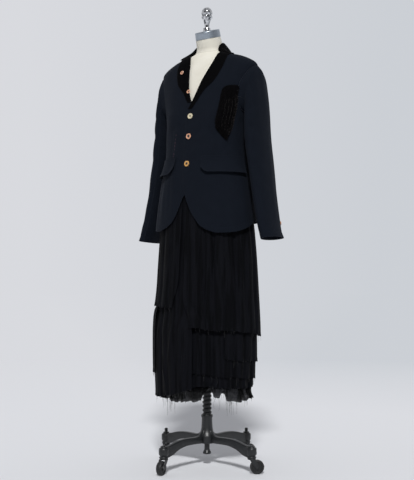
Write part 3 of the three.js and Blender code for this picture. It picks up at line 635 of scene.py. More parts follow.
def closed_up(piece, caps=False):
    """Joins a grid's two side edges, and fills its ends if caps is true."""
    work_on(piece)
    edit_all()
    bpy.ops.mesh.remove_doubles(threshold=1e-6)
    if caps:
        fill_ends()
        bpy.ops.mesh.select_all(action="SELECT")
        bpy.ops.mesh.normals_make_consistent(inside=False)
    bpy.ops.object.mode_set(mode="OBJECT")


SHEETS = {}


def sheet(node, place, columns, rows, thick, finish, inward=False, closed=False, held="draped"):
    """A sheet of cloth that stands for one of the frame's nodes."""
    piece, (width, length, area) = lay_grid(columns, rows, place, inward)
    if closed:
        closed_up(piece)
    apply_modifier(piece, "SOLIDIFY", thickness=thick * MM, offset=-1, use_rim=True)
    smooth(piece, 50)
    dress(piece, node + "_cloth", finish, "form", node)
    SHEETS[node] = {"piece": piece, "flat": (width, length), "area": area, "held": held, "trim": []}
    print(node, "cut", round(width, 3), "x", round(length, 3), "m, area", round(area, 3))
    return piece


# %% Fine strands
def strands(name, lines, radius, sides=4):
    """Thin round strands along lists of points in millimetres, all in one mesh."""
    points, faces = [], []
    for line in lines:
        line = np.array(line, float)
        heading = unit(np.gradient(line, axis=0))
        level = unit(np.cross(heading, (0.31, 0.17, 0.93)) + 1e-9)
        other = np.cross(heading, level)
        first = len(points)
        for p, a, b in zip(line, level, other):
            for i in range(sides):
                turn = 2 * math.pi * i / sides
                points.append((p + radius * (math.cos(turn) * a + math.sin(turn) * b)) * MM)
        for ring in range(len(line) - 1):
            for i in range(sides):
                a, b = first + ring * sides + i, first + ring * sides + (i + 1) % sides
                faces.append((a, b, b + sides, a + sides))
        last = first + (len(line) - 1) * sides
        faces.append(tuple(range(first + sides - 1, first - 1, -1)))
        faces.append(tuple(range(last, last + sides)))
    mesh = bpy.data.meshes.new(name)
    mesh.from_pydata([tuple(p) for p in points], [], faces)
    mesh.update()
    piece = bpy.data.objects.new(name, mesh)
    bpy.context.scene.collection.objects.link(piece)
    face_out(piece, 1e-9)
    smooth(piece, 80)
    return piece


# %% [markdown]
# ## Finishes for the cloth
# Milled wool is a dull navy with a short nap: a fine uneven bump, a broad mottling of
# colour, and a paler line where an edge has rubbed. Velvet drinks the light and gives some
# back at a glancing angle, so it has sheen and almost no colour. The crepe of the skirt is
# crinkled along its length, and the sheer layer lets light through between its threads.
# Dark upright marks of painted shade in the crepes' colour stand in for the shade of folds
# and of frills lying over each other.

# %% Wool and velvet
wool = Finish("navy_wool", roughness=0.92, Sheen_Weight=0.022, Sheen_Roughness=0.5)
wool.set("Sheen Tint", (0.55, 0.62, 0.8, 1))
wool.set("Specular IOR Level", 0.1)
cloth_place = wool.pattern_place()
nap = wool.noise(cloth_place, 1.6, 4)
milling = wool.noise(cloth_place, 38, 3)
twill = wool.lines(cloth_place, 1.3, "DIAGONAL", 1.5)
fluff = (nap * 0.65 + milling * 0.55 - 0.15).held()
wool_colour = wool.between((0.0022, 0.0036, 0.0070), (0.0054, 0.0078, 0.0132), fluff)
rubbed = wool.edge_share(3.5) * wool.noise(cloth_place, 9, 2) * 0.35
wool.set("Base Color", wool.between(wool_colour, (0.016, 0.019, 0.027), rubbed))
wool.set("Roughness", 0.84 + nap * 0.14)
wool.relief(nap * 0.7 + twill * 0.3, 0.5, 0.55)

velvet = Finish("black_velvet", roughness=0.95, Sheen_Weight=0.03, Sheen_Roughness=0.3)
velvet.set("Sheen Tint", (0.5, 0.5, 0.62, 1))
velvet.set("Specular IOR Level", 0.04)
pile_place = velvet.pattern_place()
pile = velvet.noise(pile_place, 0.9, 3)
brushed_pile = velvet.noise(pile_place, 14, 3)
velvet_colour = velvet.between((0.0007, 0.0007, 0.0009), (0.0035, 0.0034, 0.0042), brushed_pile * pile)
worn = velvet.edge_share(4) * velvet.noise(pile_place, 6, 2) * 0.3
velvet.set("Base Color", velvet.between(velvet_colour, (0.014, 0.012, 0.012), worn))
velvet.relief(pile, 0.6, 0.7)
print("finishes", wool.material.name, velvet.material.name)

# %% Crepe, sheer crepe and canvas
def crinkled(name, dark, light, alpha=None):
    """Crepe: fine ripples along the cloth over a mottled ground, darkened by painted shade in upright marks.
    """
    made = Finish(name, roughness=0.8, Sheen_Weight=0.01, Sheen_Roughness=0.4)
    made.set("Specular IOR Level", 0.07)
    place = made.pattern_place()
    ripple = made.noise(made.pattern_place((1, 0.22, 1)), 1.8, 3)
    broad = made.noise(made.pattern_place((1, 0.12, 1)), 26, 3)
    grain = made.noise(place, 0.7, 2)
    shade = (ripple * 0.5 + broad * 0.8 - 0.15).held()
    if alpha is None:
        # painted shade: dark upright streaks stand in for the shade in the skirt's folds
        hanging = made.noise(made.solid_place((1, 1, 0.05)), 17, 2)
        shade = shade * ((hanging - 0.41) * 8).held()
    else:
        # painted shade: dark upright patches stand in for the shade where the frills lie over each other
        painted_overlap_shade = made.noise(made.solid_place((1, 1, 0.12)), 21, 1)
        shade = shade * ((painted_overlap_shade - 0.5) * 14).held()
    made.set("Base Color", made.between(dark, light, shade))
    made.set("Roughness", 0.7 + grain * 0.25)
    made.relief(ripple * 0.7 + grain * 0.3, 0.5, 0.6)
    if alpha is not None:
        made.set("Alpha", (alpha + made.edge_share(12) * -0.22 + (broad - 0.5) * 0.3).held())
    return made


crepe = crinkled("black_crepe", (0.0009, 0.0011, 0.0019), (0.0046, 0.0050, 0.0076))
sheer = crinkled("sheer_crepe", (0.0009, 0.0010, 0.0013), (0.034, 0.035, 0.040), alpha=0.9)

canvas = Finish("ivory_canvas", roughness=0.85, Sheen_Weight=0.1)
room = canvas.solid_place()
weft = canvas.lines(room, 1.1, "Z", 0.6)
warp = canvas.lines(room, 1.1, "X", 0.6)
age = canvas.noise(room, 60, 4)
canvas_colour = canvas.between((0.63, 0.60, 0.51), (0.75, 0.725, 0.645), (age * 1.4 - 0.2).held())
canvas.set("Base Color", canvas_colour)
canvas.relief((weft + warp) * 0.5 + canvas.noise(room, 3, 2) * 0.3, 0.25, 0.35)
print("finishes", crepe.material.name, sheer.material.name, canvas.material.name)

# %% [markdown]
# ## Finishes for metal, paint and horn
# Brushed steel has long streaks round the cap, polished metal only faint scratches and
# painted reflections, dark and bright patches in its colour, and cast iron keeps the grain
# of its sand mould under satin paint, with bare metal glints where it has been knocked.
# Horn buttons are mottled and polished.

# %% Metal, paint, rubber and horn
cap_steel = Finish("brushed_steel", roughness=0.34, metallic=1.0)
streak = cap_steel.noise(cap_steel.solid_place((1, 1, 14)), 8, 4)
cap_steel.set("Base Color", cap_steel.between((0.27, 0.33, 0.40), (0.52, 0.56, 0.60), streak))
cap_steel.set("Roughness", 0.26 + streak * 0.22)
cap_steel.relief(streak, 0.08, 0.4)

polished = Finish("polished_aluminium", roughness=0.16, metallic=1.0)
smears_and_painted_reflections = polished.noise(polished.solid_place(), 9, 3)
# painted reflection: dark and bright patches in the metal's colour stand in for what the polished finial
# reflects; the same noise gives real smears in its roughness
painted_reflection = ((smears_and_painted_reflections - 0.38) * 5).held()
polished.set("Base Color", polished.between((0.10, 0.11, 0.12), (0.86, 0.87, 0.89), painted_reflection))
polished.set("Roughness", 0.1 + smears_and_painted_reflections * 0.16)

iron = Finish("black_cast_iron", roughness=0.42, metallic=0.0, Coat_Roughness=0.3)
sand = iron.noise(iron.solid_place(), 1.4, 3)
blotch = iron.noise(iron.solid_place(), 22, 4)
knocks = ((iron.noise(iron.solid_place(), 5, 4, 0.7) - 0.66) * 14).held()
iron_colour = iron.between((0.0020, 0.0028, 0.0035), (0.0062, 0.0076, 0.0092), blotch)
iron.set("Base Color", iron.between(iron_colour, (0.16, 0.12, 0.075), knocks * 0.55))
iron.set("Roughness", 0.32 + sand * 0.2)
iron.set("Coat Weight", 0.16 - knocks * 0.12)
iron.relief(sand, 0.35, 0.5)

tread = Finish("black_wheel", roughness=0.55)
scuff = tread.noise(tread.solid_place(), 4, 4, 0.65)
tread.set("Base Color", tread.between((0.0022, 0.0026, 0.003), (0.008, 0.0085, 0.0095), scuff))
tread.set("Roughness", 0.4 + scuff * 0.25)
tread.relief(scuff, 0.15, 0.4)


def horn(name, pale, deep):
    made = Finish(name, roughness=0.22, Coat_Weight=0.35, Coat_Roughness=0.1)
    vein = made.noise(made.solid_place((1, 1, 2.2)), 7, 4, 0.6)
    made.set("Base Color", made.between(deep, pale, (vein * 1.8 - 0.4).held()))
    made.set("Roughness", 0.16 + vein * 0.14)
    return made


cream_horn = horn("cream_horn", (0.76, 0.70, 0.52), (0.42, 0.35, 0.21))
copper_horn = horn("copper_horn", (0.74, 0.42, 0.27), (0.40, 0.17, 0.09))
amber_horn = horn("amber_horn", (0.70, 0.40, 0.13), (0.34, 0.16, 0.035))
canvas_seam = Finish("canvas_seam", roughness=0.85)
canvas_seam.set("Base Color", (0.36, 0.34, 0.29, 1))


def thread(name, colour):
    made = Finish(name, roughness=0.75, Sheen_Weight=0.15)
    twist = made.noise(made.solid_place(), 1.2, 2)
    made.set("Base Color", made.between(colour, tuple(c * 2.2 + 0.002 for c in colour), twist))
    return made


black_thread = thread("black_thread", (0.006, 0.006, 0.0075))
umber_thread = thread("umber_thread", (0.016, 0.011, 0.010))
plum_thread = thread("plum_thread", (0.055, 0.016, 0.032))
print("finishes", len(bpy.data.materials))

# %% [markdown]
# ## The form
# The form is papier-mache under padding and a tight canvas cover, so it is smooth and has
# no folds. Its rings are laid on the draft and rolled into a tube. The neck leans, so its
# rings are tipped, and the steel cap and the turned finial follow that slope.

# %% Torso and neck
NECK_LEAN = 0.34
BACK_OF_JACKET = 2.5 + 1.8  # the wool and the air under it
CAP_FOOT = 1578


def lean_at(z):
    return NECK_LEAN * ease(1518, 1575, z)


def bare_form(t, z):
    return section_point(form_sections, t, z)


def form_face(t, z):
    t, z = np.broadcast_arrays(np.asarray(t, float), np.asarray(z, float))
    padded = offset_from(bare_form, t, z, BUST_OF_FORM * bust_at(wrap(t), z))
    shoulders = offset_from(plain_jacket, t, z, -BACK_OF_JACKET)
    neck = section_point(neck_sections, t, z)
    lower = mix(padded, shoulders, ease(1400, 1450, z)[..., None])
    return mix(lower, neck, ease(1507, 1519, z)[..., None])


def tipped(points, z):
    """A neck ring's points, raised towards the back."""
    middle = neck_sections[3](z)
    lift = lean_at(z) * (points[..., 1] - middle)
    return points + upward(lift)


form_heights = np.concatenate([
    np.linspace(FORM_BASE, 1440, 70, endpoint=False),
    np.linspace(1440, 1500, 24, endpoint=False),
    np.linspace(1500, CAP_FOOT, 46),
])


def torso_place(u, v):
    z = np.interp(v, np.linspace(0, 1, len(form_heights)), form_heights)
    return tipped(form_face(360 * u, z), z)


torso, _ = lay_grid(96, len(form_heights) - 1, torso_place)
closed_up(torso, caps=True)
smooth(torso, 60)
dress(torso, "form_torso_canvas", canvas, "form", "form_torso")

seam_turn = np.linspace(-70, 70, 90)
neck_base = 1526 - 5 * np.cos(np.radians(seam_turn))
neck_seam = tipped(offset_from(form_face, seam_turn, neck_base, 0.05), neck_base)
seams = strands("form_seams", [neck_seam], 0.3)
dress(seams, "form_seams", canvas_seam, "form")
print("torso", len(torso.data.polygons), "faces")

# %% Neck cap
CAP_TOP = 1604
cap_rows = [(1578.5, 0.5, 1), (1579.2, 1.0, 1), (1580.5, 0.8, 1), (1590, 0.8, 1), (1601.5, 0.8, 1),
            (1603, 0.2, 1), (1603.8, -1.2, 1), (1604.4, -1.2, 0.8), (1605.2, -1.2, 0.45),
            (1605.6, -1.2, 0.02)]


def cap_place(u, v):
    share = np.linspace(0, 1, len(cap_rows))
    level, grow, spread = [np.interp(v, share, column) for column in zip(*cap_rows)]
    z = np.minimum(level, CAP_TOP)
    ring = offset_from(lambda a, b: section_point(neck_sections, a, b), 360 * u, z, grow)
    centre = np.stack([0 * z, neck_sections[3](z), z], -1)
    points = mix(centre, ring, spread[..., None])
    lift = NECK_LEAN * (points[..., 1] - neck_sections[3](z)) + level - z
    return points + upward(lift)


cap, _ = lay_grid(96, (len(cap_rows) - 1) * 3, cap_place)
closed_up(cap, caps=True)
smooth(cap, 40)
dress(cap, "neck_cap_steel", cap_steel, "form", "neck_cap")
print("cap", len(cap.data.polygons), "faces")

# %% Finial
FINIAL_FOOT = 1609.5
finial_profile = curved([
    (8.6, 6), (8.6, 14), (11.5, 27), (15.5, 36), (20.4, 44), (20.8, 46), (19.4, 49), (17.4, 52),
    (18.4, 54.5), (20, 58), (19.2, 66), (14.6, 75), (7.5, 80), (0.05, 81.5),
], 4)
foot_plate = [(13.6, -9), (14, -8.5), (14, 3), (13.2, 4.2), (9.6, 5)]
finial = turned([(r, z + FINIAL_FOOT) for r, z in foot_plate + finial_profile], 72)
smooth(finial, 35)
dress(finial, "finial_turned", polished, "form", "finial")
print("finial", len(finial.data.polygons), "faces")

# %% [markdown]
# ## The stand
# The stand is cast iron: a hub that flares into four arched legs, a screw post that winds
# up and down in it, and four castors. The hub, nuts and wheels are turned. A leg is one
# face, extruded ring by ring along its arch, with a boss welded to its end.

# %% Hub, foot nut and collar
POST_RADIUS = 17
HUB_FOOT, HUB_TOP, HUB_BORE, NUT_BORE = 84, 188, 18.2, 10.6
hub_side = curved([(31, 88), (31, 106), (29.4, 114), (24.5, 125), (21.4, 138), (20, 158), (19.6, 176)], 4)
hub_profile = (
    [(HUB_BORE, HUB_FOOT + 11), (NUT_BORE, HUB_FOOT + 11), (NUT_BORE, HUB_FOOT), (28, HUB_FOOT)]
    + [(30, 85)] + hub_side
    + [(20.4, 178.5), (21.5, 180), (21.5, 187), (21, HUB_TOP), (HUB_BORE, HUB_TOP)]
    + [(HUB_BORE, HUB_FOOT + 11)]
)
hub = turned(hub_profile, 64, ring=True)
smooth(hub, 32)
dress(hub, "stand_hub_iron", iron, "stand", "stand_hub")

nut_profile = [(12.4, 43), (13.4, 43.4), (15, 45.4), (15.5, 47), (15, 49.5), (14, 52), (12, 55.2),
               (10.8, 57.6), (10.4, 59), (10, 60.6)]
foot_nut = turned(nut_profile, 48)
smooth(foot_nut, 32)
dress(foot_nut, "foot_nut_iron", iron, "post", "foot_nut")

COLLAR_FOOT, COLLAR_TOP = 781.5, 799.5
bore = POST_RADIUS + 0.6
rest = turned([(bore, COLLAR_FOOT), (32, COLLAR_FOOT), (33, COLLAR_FOOT + 1), (33, COLLAR_TOP - 1),
               (32, COLLAR_TOP), (bore, COLLAR_TOP), (bore, COLLAR_FOOT)], 56, ring=True)
smooth(rest, 32)
dress(rest, "post_collar_iron", iron, "post", "post_collar")
print("hub", len(hub.data.polygons), "faces")

# %% The screw post
THREAD_PITCH, THREAD_ROOT, POST_TOP = 15, 13.6, 950
POST_FOOT = HUB_FOOT + 11 + 35.5
THREAD_FOOT, THREAD_TOP = 189, 300
post_heights = np.concatenate([
    [POST_FOOT, POST_FOOT + 1, 160], np.linspace(THREAD_FOOT - 3, THREAD_TOP + 3, 160), [500, 800, POST_TOP]
])


def post_place(u, v):
    z = np.interp(v, np.linspace(0, 1, len(post_heights)), post_heights)
    turn = 2 * math.pi * u
    ridge = np.clip(0.5 + 0.95 * np.cos(turn - 2 * math.pi * z / THREAD_PITCH), 0, 1)
    cut = ease(THREAD_FOOT - 2, THREAD_FOOT + 3, z) * (1 - ease(THREAD_TOP - 3, THREAD_TOP + 2, z))
    radius = POST_RADIUS - (POST_RADIUS - THREAD_ROOT) * (1 - ridge) * cut
    return np.stack([radius * np.cos(turn), radius * np.sin(turn), z], -1)


post, _ = lay_grid(48, len(post_heights) - 1, post_place)
closed_up(post, caps=True)
stub = turned([(9.8, 61), (9.8, POST_FOOT + 2)], 32)
work_on(post)
stub.select_set(True)
bpy.ops.object.join()
smooth(post, 40)
dress(post, "screw_post_iron", iron, "post", "screw_post")
print("post", len(post.data.polygons), "faces")

# %% One leg, cast from rings along its arch
LEG_REACH, LEG_TURN = 219, 79
# reach from the post, underside, top, width
leg_rings = [
    (13, 90, 160, 8), (19, 87.5, 139, 12), (26, 86, 125, 15.5), (36, 86, 116, 18.5), (48, 86.3, 112, 20),
    (62, 86.8, 111.3, 20), (80, 87, 111.8, 20), (98, 86.9, 112.3, 20), (115, 86, 112, 20),
    (132, 82.8, 110.9, 20), (150, 78, 108.5, 20), (165, 71.4, 105.2, 20), (180, 63, 101, 20),
    (193, 59, 98, 20), (207, 57, 96, 20),
]


def cast_leg():
    reach, low, high, wide = leg_rings[0]
    start_clean()
    bpy.ops.mesh.primitive_plane_add(
        size=MM, location=(reach * MM, 0, (low + high) / 2 * MM), rotation=(0, math.pi / 2, 0)
    )
    arch = bpy.context.object
    arch.scale = (high - low, wide, 1)
    settle(arch)
    edit_all()
    for next_reach, next_low, next_high, next_wide in leg_rings[1:]:
        middle, next_middle = (low + high) / 2, (next_low + next_high) / 2
        step = ((next_reach - reach) * MM, 0, (next_middle - middle) * MM)
        bpy.ops.mesh.extrude_region_move(TRANSFORM_OT_translate={"value": step})
        grow = (1, next_wide / wide, (next_high - next_low) / (high - low))
        bpy.ops.transform.resize(value=grow, center_override=(next_reach * MM, 0, next_middle * MM))
        reach, low, high, wide = next_reach, next_low, next_high, next_wide
    fill_ends()
    bpy.ops.object.mode_set(mode="OBJECT")
    face_out(arch)
    apply_modifier(arch, "BEVEL", width=4.5 * MM, segments=4, limit_method="ANGLE",
                   angle_limit=math.radians(50))
    boss = turned([(6.4, 57), (15, 57), (16.2, 57.8), (16.4, 60), (15.4, 61.6), (14, 63), (13.8, 64.6),
                   (15.4, 66.6), (17, 69), (17.6, 73), (17.5, 86), (16.8, 90), (15.2, 92.6), (12, 94.4),
                   (11.4, 95.6), (11.4, 98), (10.6, 99), (6.4, 99), (6.4, 57)], 48, ring=True)
    work_on(boss)
    boss.location = (LEG_REACH * MM, 0, 0)
    settle(boss)
    welded(arch, boss)
    smooth(arch, 35)
    return arch


first_leg = cast_leg()
castors = {
    "back_left": (LEG_TURN, 78, 114),
    "back_right": (LEG_TURN + 90, 123, 114),
    "front_right": (LEG_TURN + 180, 278, 101),
    "front_left": (LEG_TURN + 270, 36, 101),
}
for corner, (turn, _, _) in castors.items():
    leg = copy_of(first_leg)
    leg.rotation_euler = (0, 0, math.radians(turn))
    settle(leg)
    dress(leg, "leg_" + corner + "_iron", iron, "stand", "leg_" + corner)
bpy.data.objects.remove(first_leg)
print("legs", len(castors))

# %% Castors: a fork on a stem, and a wheel
TRAIL, WHEEL_RADIUS, WHEEL_HALF, AXLE_RADIUS = 19, 25, 9, 4
PLATE_FOOT, PLATE_TOP = 51.5, 56.5
CHEEK = 3


def fork_cheek(side):
    """A flat arm from the plate down to the axle, round at its lower end."""
    arc = np.radians(np.linspace(35, -165, 14))
    outline = [(-9, PLATE_FOOT + 2), (12.5, PLATE_FOOT + 2)]
    outline += [(TRAIL + 7.5 * math.cos(a), WHEEL_RADIUS + 7.5 * math.sin(a)) for a in arc]
    start_clean()
    bpy.ops.mesh.primitive_circle_add(vertices=len(outline), radius=1, fill_type="NGON")
    cheek = bpy.context.object
    inner = (WHEEL_HALF + 1) * side
    for corner, (x, z) in zip(cheek.data.vertices, outline):
        corner.co = (x * MM, inner * MM, z * MM)
    work_on(cheek)
    edit_all()
    bpy.ops.mesh.extrude_region_move(TRANSFORM_OT_translate={"value": (0, CHEEK * side * MM, 0)})
    fill_ends()
    bpy.ops.object.mode_set(mode="OBJECT")
    face_out(cheek)
    apply_modifier(cheek, "BEVEL", width=0.8 * MM, segments=2, limit_method="ANGLE")
    return cheek


def lying_across(piece):
    """Lays a turned piece along the axle."""
    piece.rotation_euler = (math.pi / 2, 0, 0)
    piece.location = (TRAIL * MM, 0, WHEEL_RADIUS * MM)
    settle(piece)
    return piece


def castor_fork(stem_top):
    stem = turned([(6, PLATE_FOOT + 1), (6, stem_top - 2), (5.4, stem_top - 0.6), (4, stem_top)], 32)
    cup = turned([(12.5, PLATE_FOOT), (14.4, PLATE_FOOT + 0.5), (15, PLATE_FOOT + 1.6), (15, 55),
                  (14.2, 56.2), (12.5, PLATE_TOP)], 40)
    reach = WHEEL_HALF + 1 + CHEEK
    axle = lying_across(turned([(5.6, -reach - 1.2), (6.2, -reach), (AXLE_RADIUS, -reach + 0.4),
                                (AXLE_RADIUS, reach - 0.4), (6.2, reach), (5.6, reach + 1.2)], 28))
    return welded(cup, stem, fork_cheek(1), fork_cheek(-1), axle)


def castor_wheel():
    rim, half, bore = WHEEL_RADIUS, WHEEL_HALF, AXLE_RADIUS + 0.4
    side = [(bore, half), (8.4, half), (9, half - 0.5), (9.6, half - 2), (16, half - 2.2),
            (17.2, half - 0.6), (18, half), (21.6, half), (23.6, half - 0.8), (24.7, half - 2.4),
            (rim, half - 4.2)]
    profile = [(r, -z) for r, z in side] + side[::-1] + [(bore, -half)]
    return lying_across(turned(profile, 56, ring=True))


made_forks = {top: castor_fork(top) for top in (114, 101)}
made_wheel = castor_wheel()
for corner, (turn, trail, stem_top) in castors.items():
    angle = math.radians(turn)
    place = (LEG_REACH * MM * math.cos(angle), LEG_REACH * MM * math.sin(angle), 0)
    parts = [("fork", made_forks[stem_top], iron, "cast_iron"), ("wheel", made_wheel, tread, "wheel_black")]
    for part, made, finish, slot in parts:
        piece = copy_of(made)
        piece.rotation_euler = (0, 0, math.radians(trail))
        piece.location = place
        settle(piece)
        smooth(piece, 32)
        dress(piece, f"castor_{part}_{corner}_made", finish, f"{part}_{corner}",
              f"castor_{part}_{corner}")
for made in [*made_forks.values(), made_wheel]:
    bpy.data.objects.remove(made)
print("castors", len(castors))

# %% [markdown]
# ## The jacket's cloth
# A jacket of milled wool keeps its cut, so its creases are few and soft: a drag from the
# underarm, a dip at each fastened button, a fold at the waist. They could be simulated,
# but a jacket that hangs still is drawn better with its creases given one by one. Each
# crease below is a line on the cloth with a width and a height, and a faint rumple lies
# over everything.

# %% Creases
GIRTH_STEP = 3.0  # millimetres round the body for one degree


def crease(a, b, start, end, width, height):
    """A soft ridge, or a trough where height is negative, between two points of the cloth."""
    start, end = np.array(start, float), np.array(end, float)
    way = end - start
    length = math.hypot(*way)
    share = ((a - start[0]) * way[0] + (b - start[1]) * way[1]) / length**2
    near = np.clip(share, 0, 1)
    off = np.hypot(a - start[0] - near * way[0], b - start[1] - near * way[1])
    taper = 0.35 + 0.65 * np.sin(np.pi * np.clip(near, 0.02, 0.98))
    return height * taper * np.exp(-((off / width) ** 2))


def rumple(a, b, seed, size=110, height=0.5):
    """Slow unevenness of cloth that has been worn."""
    chance = np.random.default_rng(seed)
    total = 0
    for _ in range(5):
        way, phase = chance.uniform(0, math.pi), chance.uniform(0, 2 * math.pi)
        wave = chance.uniform(0.6, 1.5) * size
        total = total + np.sin(2 * math.pi * (a * math.cos(way) + b * math.sin(way)) / wave + phase)
    return height * total / 2


# side (1 left, -1 right): from angle and height, to angle and height, width, height of the crease
jacket_creases = {
    1: [
        ((86, 1290), (70, 1205), 13, -2.0), ((80, 1300), (60, 1262), 10, -1.4),
        ((64, 1405), (66, 1330), 14, -1.8), ((5, 1104), (30, 1146), 13, -1.4),
        ((5, 1196), (25, 1228), 11, -1.2), ((6, 1268), (24, 1288), 10, -1.0),
        ((31, 1228), (30, 1132), 5, -1.0), ((62, 1180), (46, 1140), 14, -1.2),
        ((28, 930), (60, 905), 12, 1.0), ((70, 1040), (76, 915), 15, 1.6),
        ((48, 1040), (46, 890), 17, -1.6), ((100, 1250), (106, 1110), 13, -2.0),
        ((150, 1400), (118, 1330), 18, -2.0), ((172, 1120), (132, 1088), 14, -1.6),
        ((165, 1185), (125, 1155), 15, -1.6), ((125, 1060), (120, 905), 16, 1.8),
        ((160, 1020), (158, 900), 15, -1.8), ((140, 1300), (112, 1245), 14, -1.6),
    ],
    -1: [
        ((67, 1315), (62, 1170), 9, -2.6), ((54, 1310), (56, 1200), 13, 1.4),
        ((72, 1300), (80, 1210), 10, -1.6), ((12, 1250), (40, 1215), 12, -1.4),
        ((20, 1104), (46, 1140), 13, -1.4), ((30, 1235), (29, 1135), 5, -1.0),
        ((26, 1060), (22, 925), 8, -1.6), ((38, 1062), (35, 890), 8, 1.6),
        ((47, 1062), (44, 885), 8, -2.0), ((60, 1062), (57, 885), 9, 1.8),
        ((70, 1062), (68, 890), 8, -2.0), ((84, 1060), (82, 900), 10, 1.6),
        ((103, 1250), (108, 1110), 13, -2.0), ((152, 1395), (120, 1325), 18, -2.0),
        ((170, 1128), (130, 1096), 14, -1.6), ((163, 1190), (123, 1164), 15, -1.6),
        ((128, 1060), (124, 905), 16, 1.8), ((158, 1020), (156, 900), 15, -1.8),
        ((138, 1295), (110, 1240), 14, -1.6),
    ],
}


def wool_relief(side, t, z):
    a = np.abs(t) * GIRTH_STEP
    total = rumple(a, z, 11 if side > 0 else 12)
    for (t1, z1), (t2, z2), width, height in jacket_creases[side]:
        total = total + crease(a, z, (t1 * GIRTH_STEP, z1), (t2 * GIRTH_STEP, z2), width, height)
    return total * ease(845, 875, z) * (1 - ease(1440, 1500, z)) * ease(2, 12, np.abs(t))


def wool_face(side, t, z, out=0.0):
    """The worn jacket's face, on the wearer's left for 1 and right for -1."""
    t, z = np.broadcast_arrays(np.asarray(t, float), np.asarray(z, float))
    points = jacket_face(t, z, out + wool_relief(side, t, z))
    return points * (side, 1, 1)


print("creases", sum(len(rows) for rows in jacket_creases.values()))

# %% [markdown]
# ## Fronts and backs
# The fronts are cut away in a curve to a round hem, and the left one closes over the right.
# Each is a sheet between two curves, the front edge and the side seam or the armhole, with
# its rows set closer at the hem and over the shoulder, where the outline turns fast.

# %% Edges of the cut
WOOL = 2.5
SEAM_GAP = 0.5
# height: how far across the left front's edge lies, and the right one's
front_edge = dict(zip((1, -1), table([
    (847, 118, 118), (856, 92, 92), (871, 66, 66), (895, 46, 48), (918, 29, 36), (960, 8, 21),
    (1003, -9, 1), (1050, -17, -15), (1100, -20, -20), (1265, -20, -20), (1290, -17, -17),
    (1310, -5, -5), (1340, 9, 10), (1372, 22, 20), (1405, 35, 26), (1440, 51, 31), (1480, 67, 38),
    (1505, 71, 49), (1517, 73, 60),
])))
HEM_LIFT = {1: 3, -1: 15}  # how much higher than drafted each front's hem hangs
BACK_HEM, HEM_CORNER = 892, 847
# height and angle of the round hem, from its lowest point to the side seam
hem_rows = [(HEM_CORNER, 46), (851, 57), (860, 68), (873, 79), (884, 86), (BACK_HEM, 90)]
hem_end = table(hem_rows)[0]
HOLE_MIDDLE, HOLE_HALF, HOLE_FRONT, HOLE_BACK = 1368.5, 83.5, 33, 31


def armhole(turn):
    """The armhole's edge as an angle and a height: 0 at the shoulder, 90 at the back."""
    across = np.sin(np.radians(turn))
    reach = np.where(across < 0, HOLE_FRONT, HOLE_BACK)
    t = 90 + np.sign(across) * reach * np.abs(across) ** 0.9
    return t, HOLE_MIDDLE + HOLE_HALF * np.cos(np.radians(turn))


def turn_at_height(z):
    return np.degrees(np.arccos(np.clip((z - HOLE_MIDDLE) / HOLE_HALF, -1, 1)))


def under_lap(t, z):
    """How far the right front lies under the left one where they button."""
    return -(WOOL + SEAM_GAP) * (1 - ease(9, 22, t)) * (1 - ease(1322, 1368, z))


SEAM_HALF = 0.1
front_heights = np.concatenate([
    HEM_CORNER + 30 * np.linspace(0, 1, 26, endpoint=False) ** 1.7,
    np.linspace(877, 1452, 104, endpoint=False),
    np.linspace(1452, 1517, 30),
])
back_heights = np.concatenate([
    [BACK_HEM, BACK_HEM + 1.5], np.linspace(896, 1452, 102, endpoint=False), np.linspace(1452, 1517, 30)
])
edge_turns = {side: angle_at(front_edge[side](front_heights), front_heights) for side in (1, -1)}


def hem_height(side, t):
    """Where a front's lower edge lies at each angle."""
    low = front_heights <= 1003
    by_edge = np.interp(t, edge_turns[side][low][::-1], front_heights[low][::-1])
    levels, turns = zip(*hem_rows)
    return np.where(t < turns[0], by_edge, np.interp(t, turns, levels))


# %% Cut the four body pieces
def front_place(side):
    def place(u, v):
        z = np.interp(v, np.linspace(0, 1, len(front_heights)), front_heights)
        start = np.interp(z, front_heights, edge_turns[side])
        side_seam = np.where(z < BACK_HEM, hem_end(z), 90)
        end = np.where(np.abs(z - HOLE_MIDDLE) < HOLE_HALF, armhole(-turn_at_height(z))[0], side_seam)
        t = mix(start, end - SEAM_HALF, u)
        lap = under_lap(t, z) if side < 0 else 0
        turned_up = 0.7 * np.exp(-(((z - hem_height(side, t) - 20) / 2.6) ** 2)) * ease(26, 38, t)
        rolled_edge = -0.8 * (1 - ease(0, 0.03, u)) * (1 - ease(1290, 1310, z))
        lifted = z + HEM_LIFT[side] * (1 - ease(HEM_CORNER, 990, z)) * (1 - ease(58, 88, t))
        return wool_face(side, t, lifted, lap - turned_up + rolled_edge)

    return place


def back_place(side):
    def place(u, v):
        z = np.interp(v, np.linspace(0, 1, len(back_heights)), back_heights)
        inside = np.abs(z - HOLE_MIDDLE) < HOLE_HALF
        start = np.where(inside, armhole(turn_at_height(z))[0], 90)
        t = mix(start + SEAM_HALF, 180 - SEAM_HALF, u)
        turned_up = 0.7 * np.exp(-(((z - BACK_HEM - 20) / 2.6) ** 2))
        centre_seam = 0.9 * np.exp(-(((180 - t) * GIRTH_STEP / 2.2) ** 2))
        return wool_face(side, t, z, -turned_up - centre_seam)

    return place


for name, side in [("left", 1), ("right", -1)]:
    sheet("front_" + name, front_place(side), 60, len(front_heights) - 1, WOOL, wool)
    sheet("back_" + name, back_place(side), 48, len(back_heights) - 1, WOOL, wool)

# %% [markdown]
# ## Sleeves
# A two-piece sleeve hangs from the armhole, bends a little at the elbow and ends in a
# straight cuff. Rings from the armhole to the cuff give its shape, and a curve runs
# through them. The seam at the front and back is where the two sheets meet.

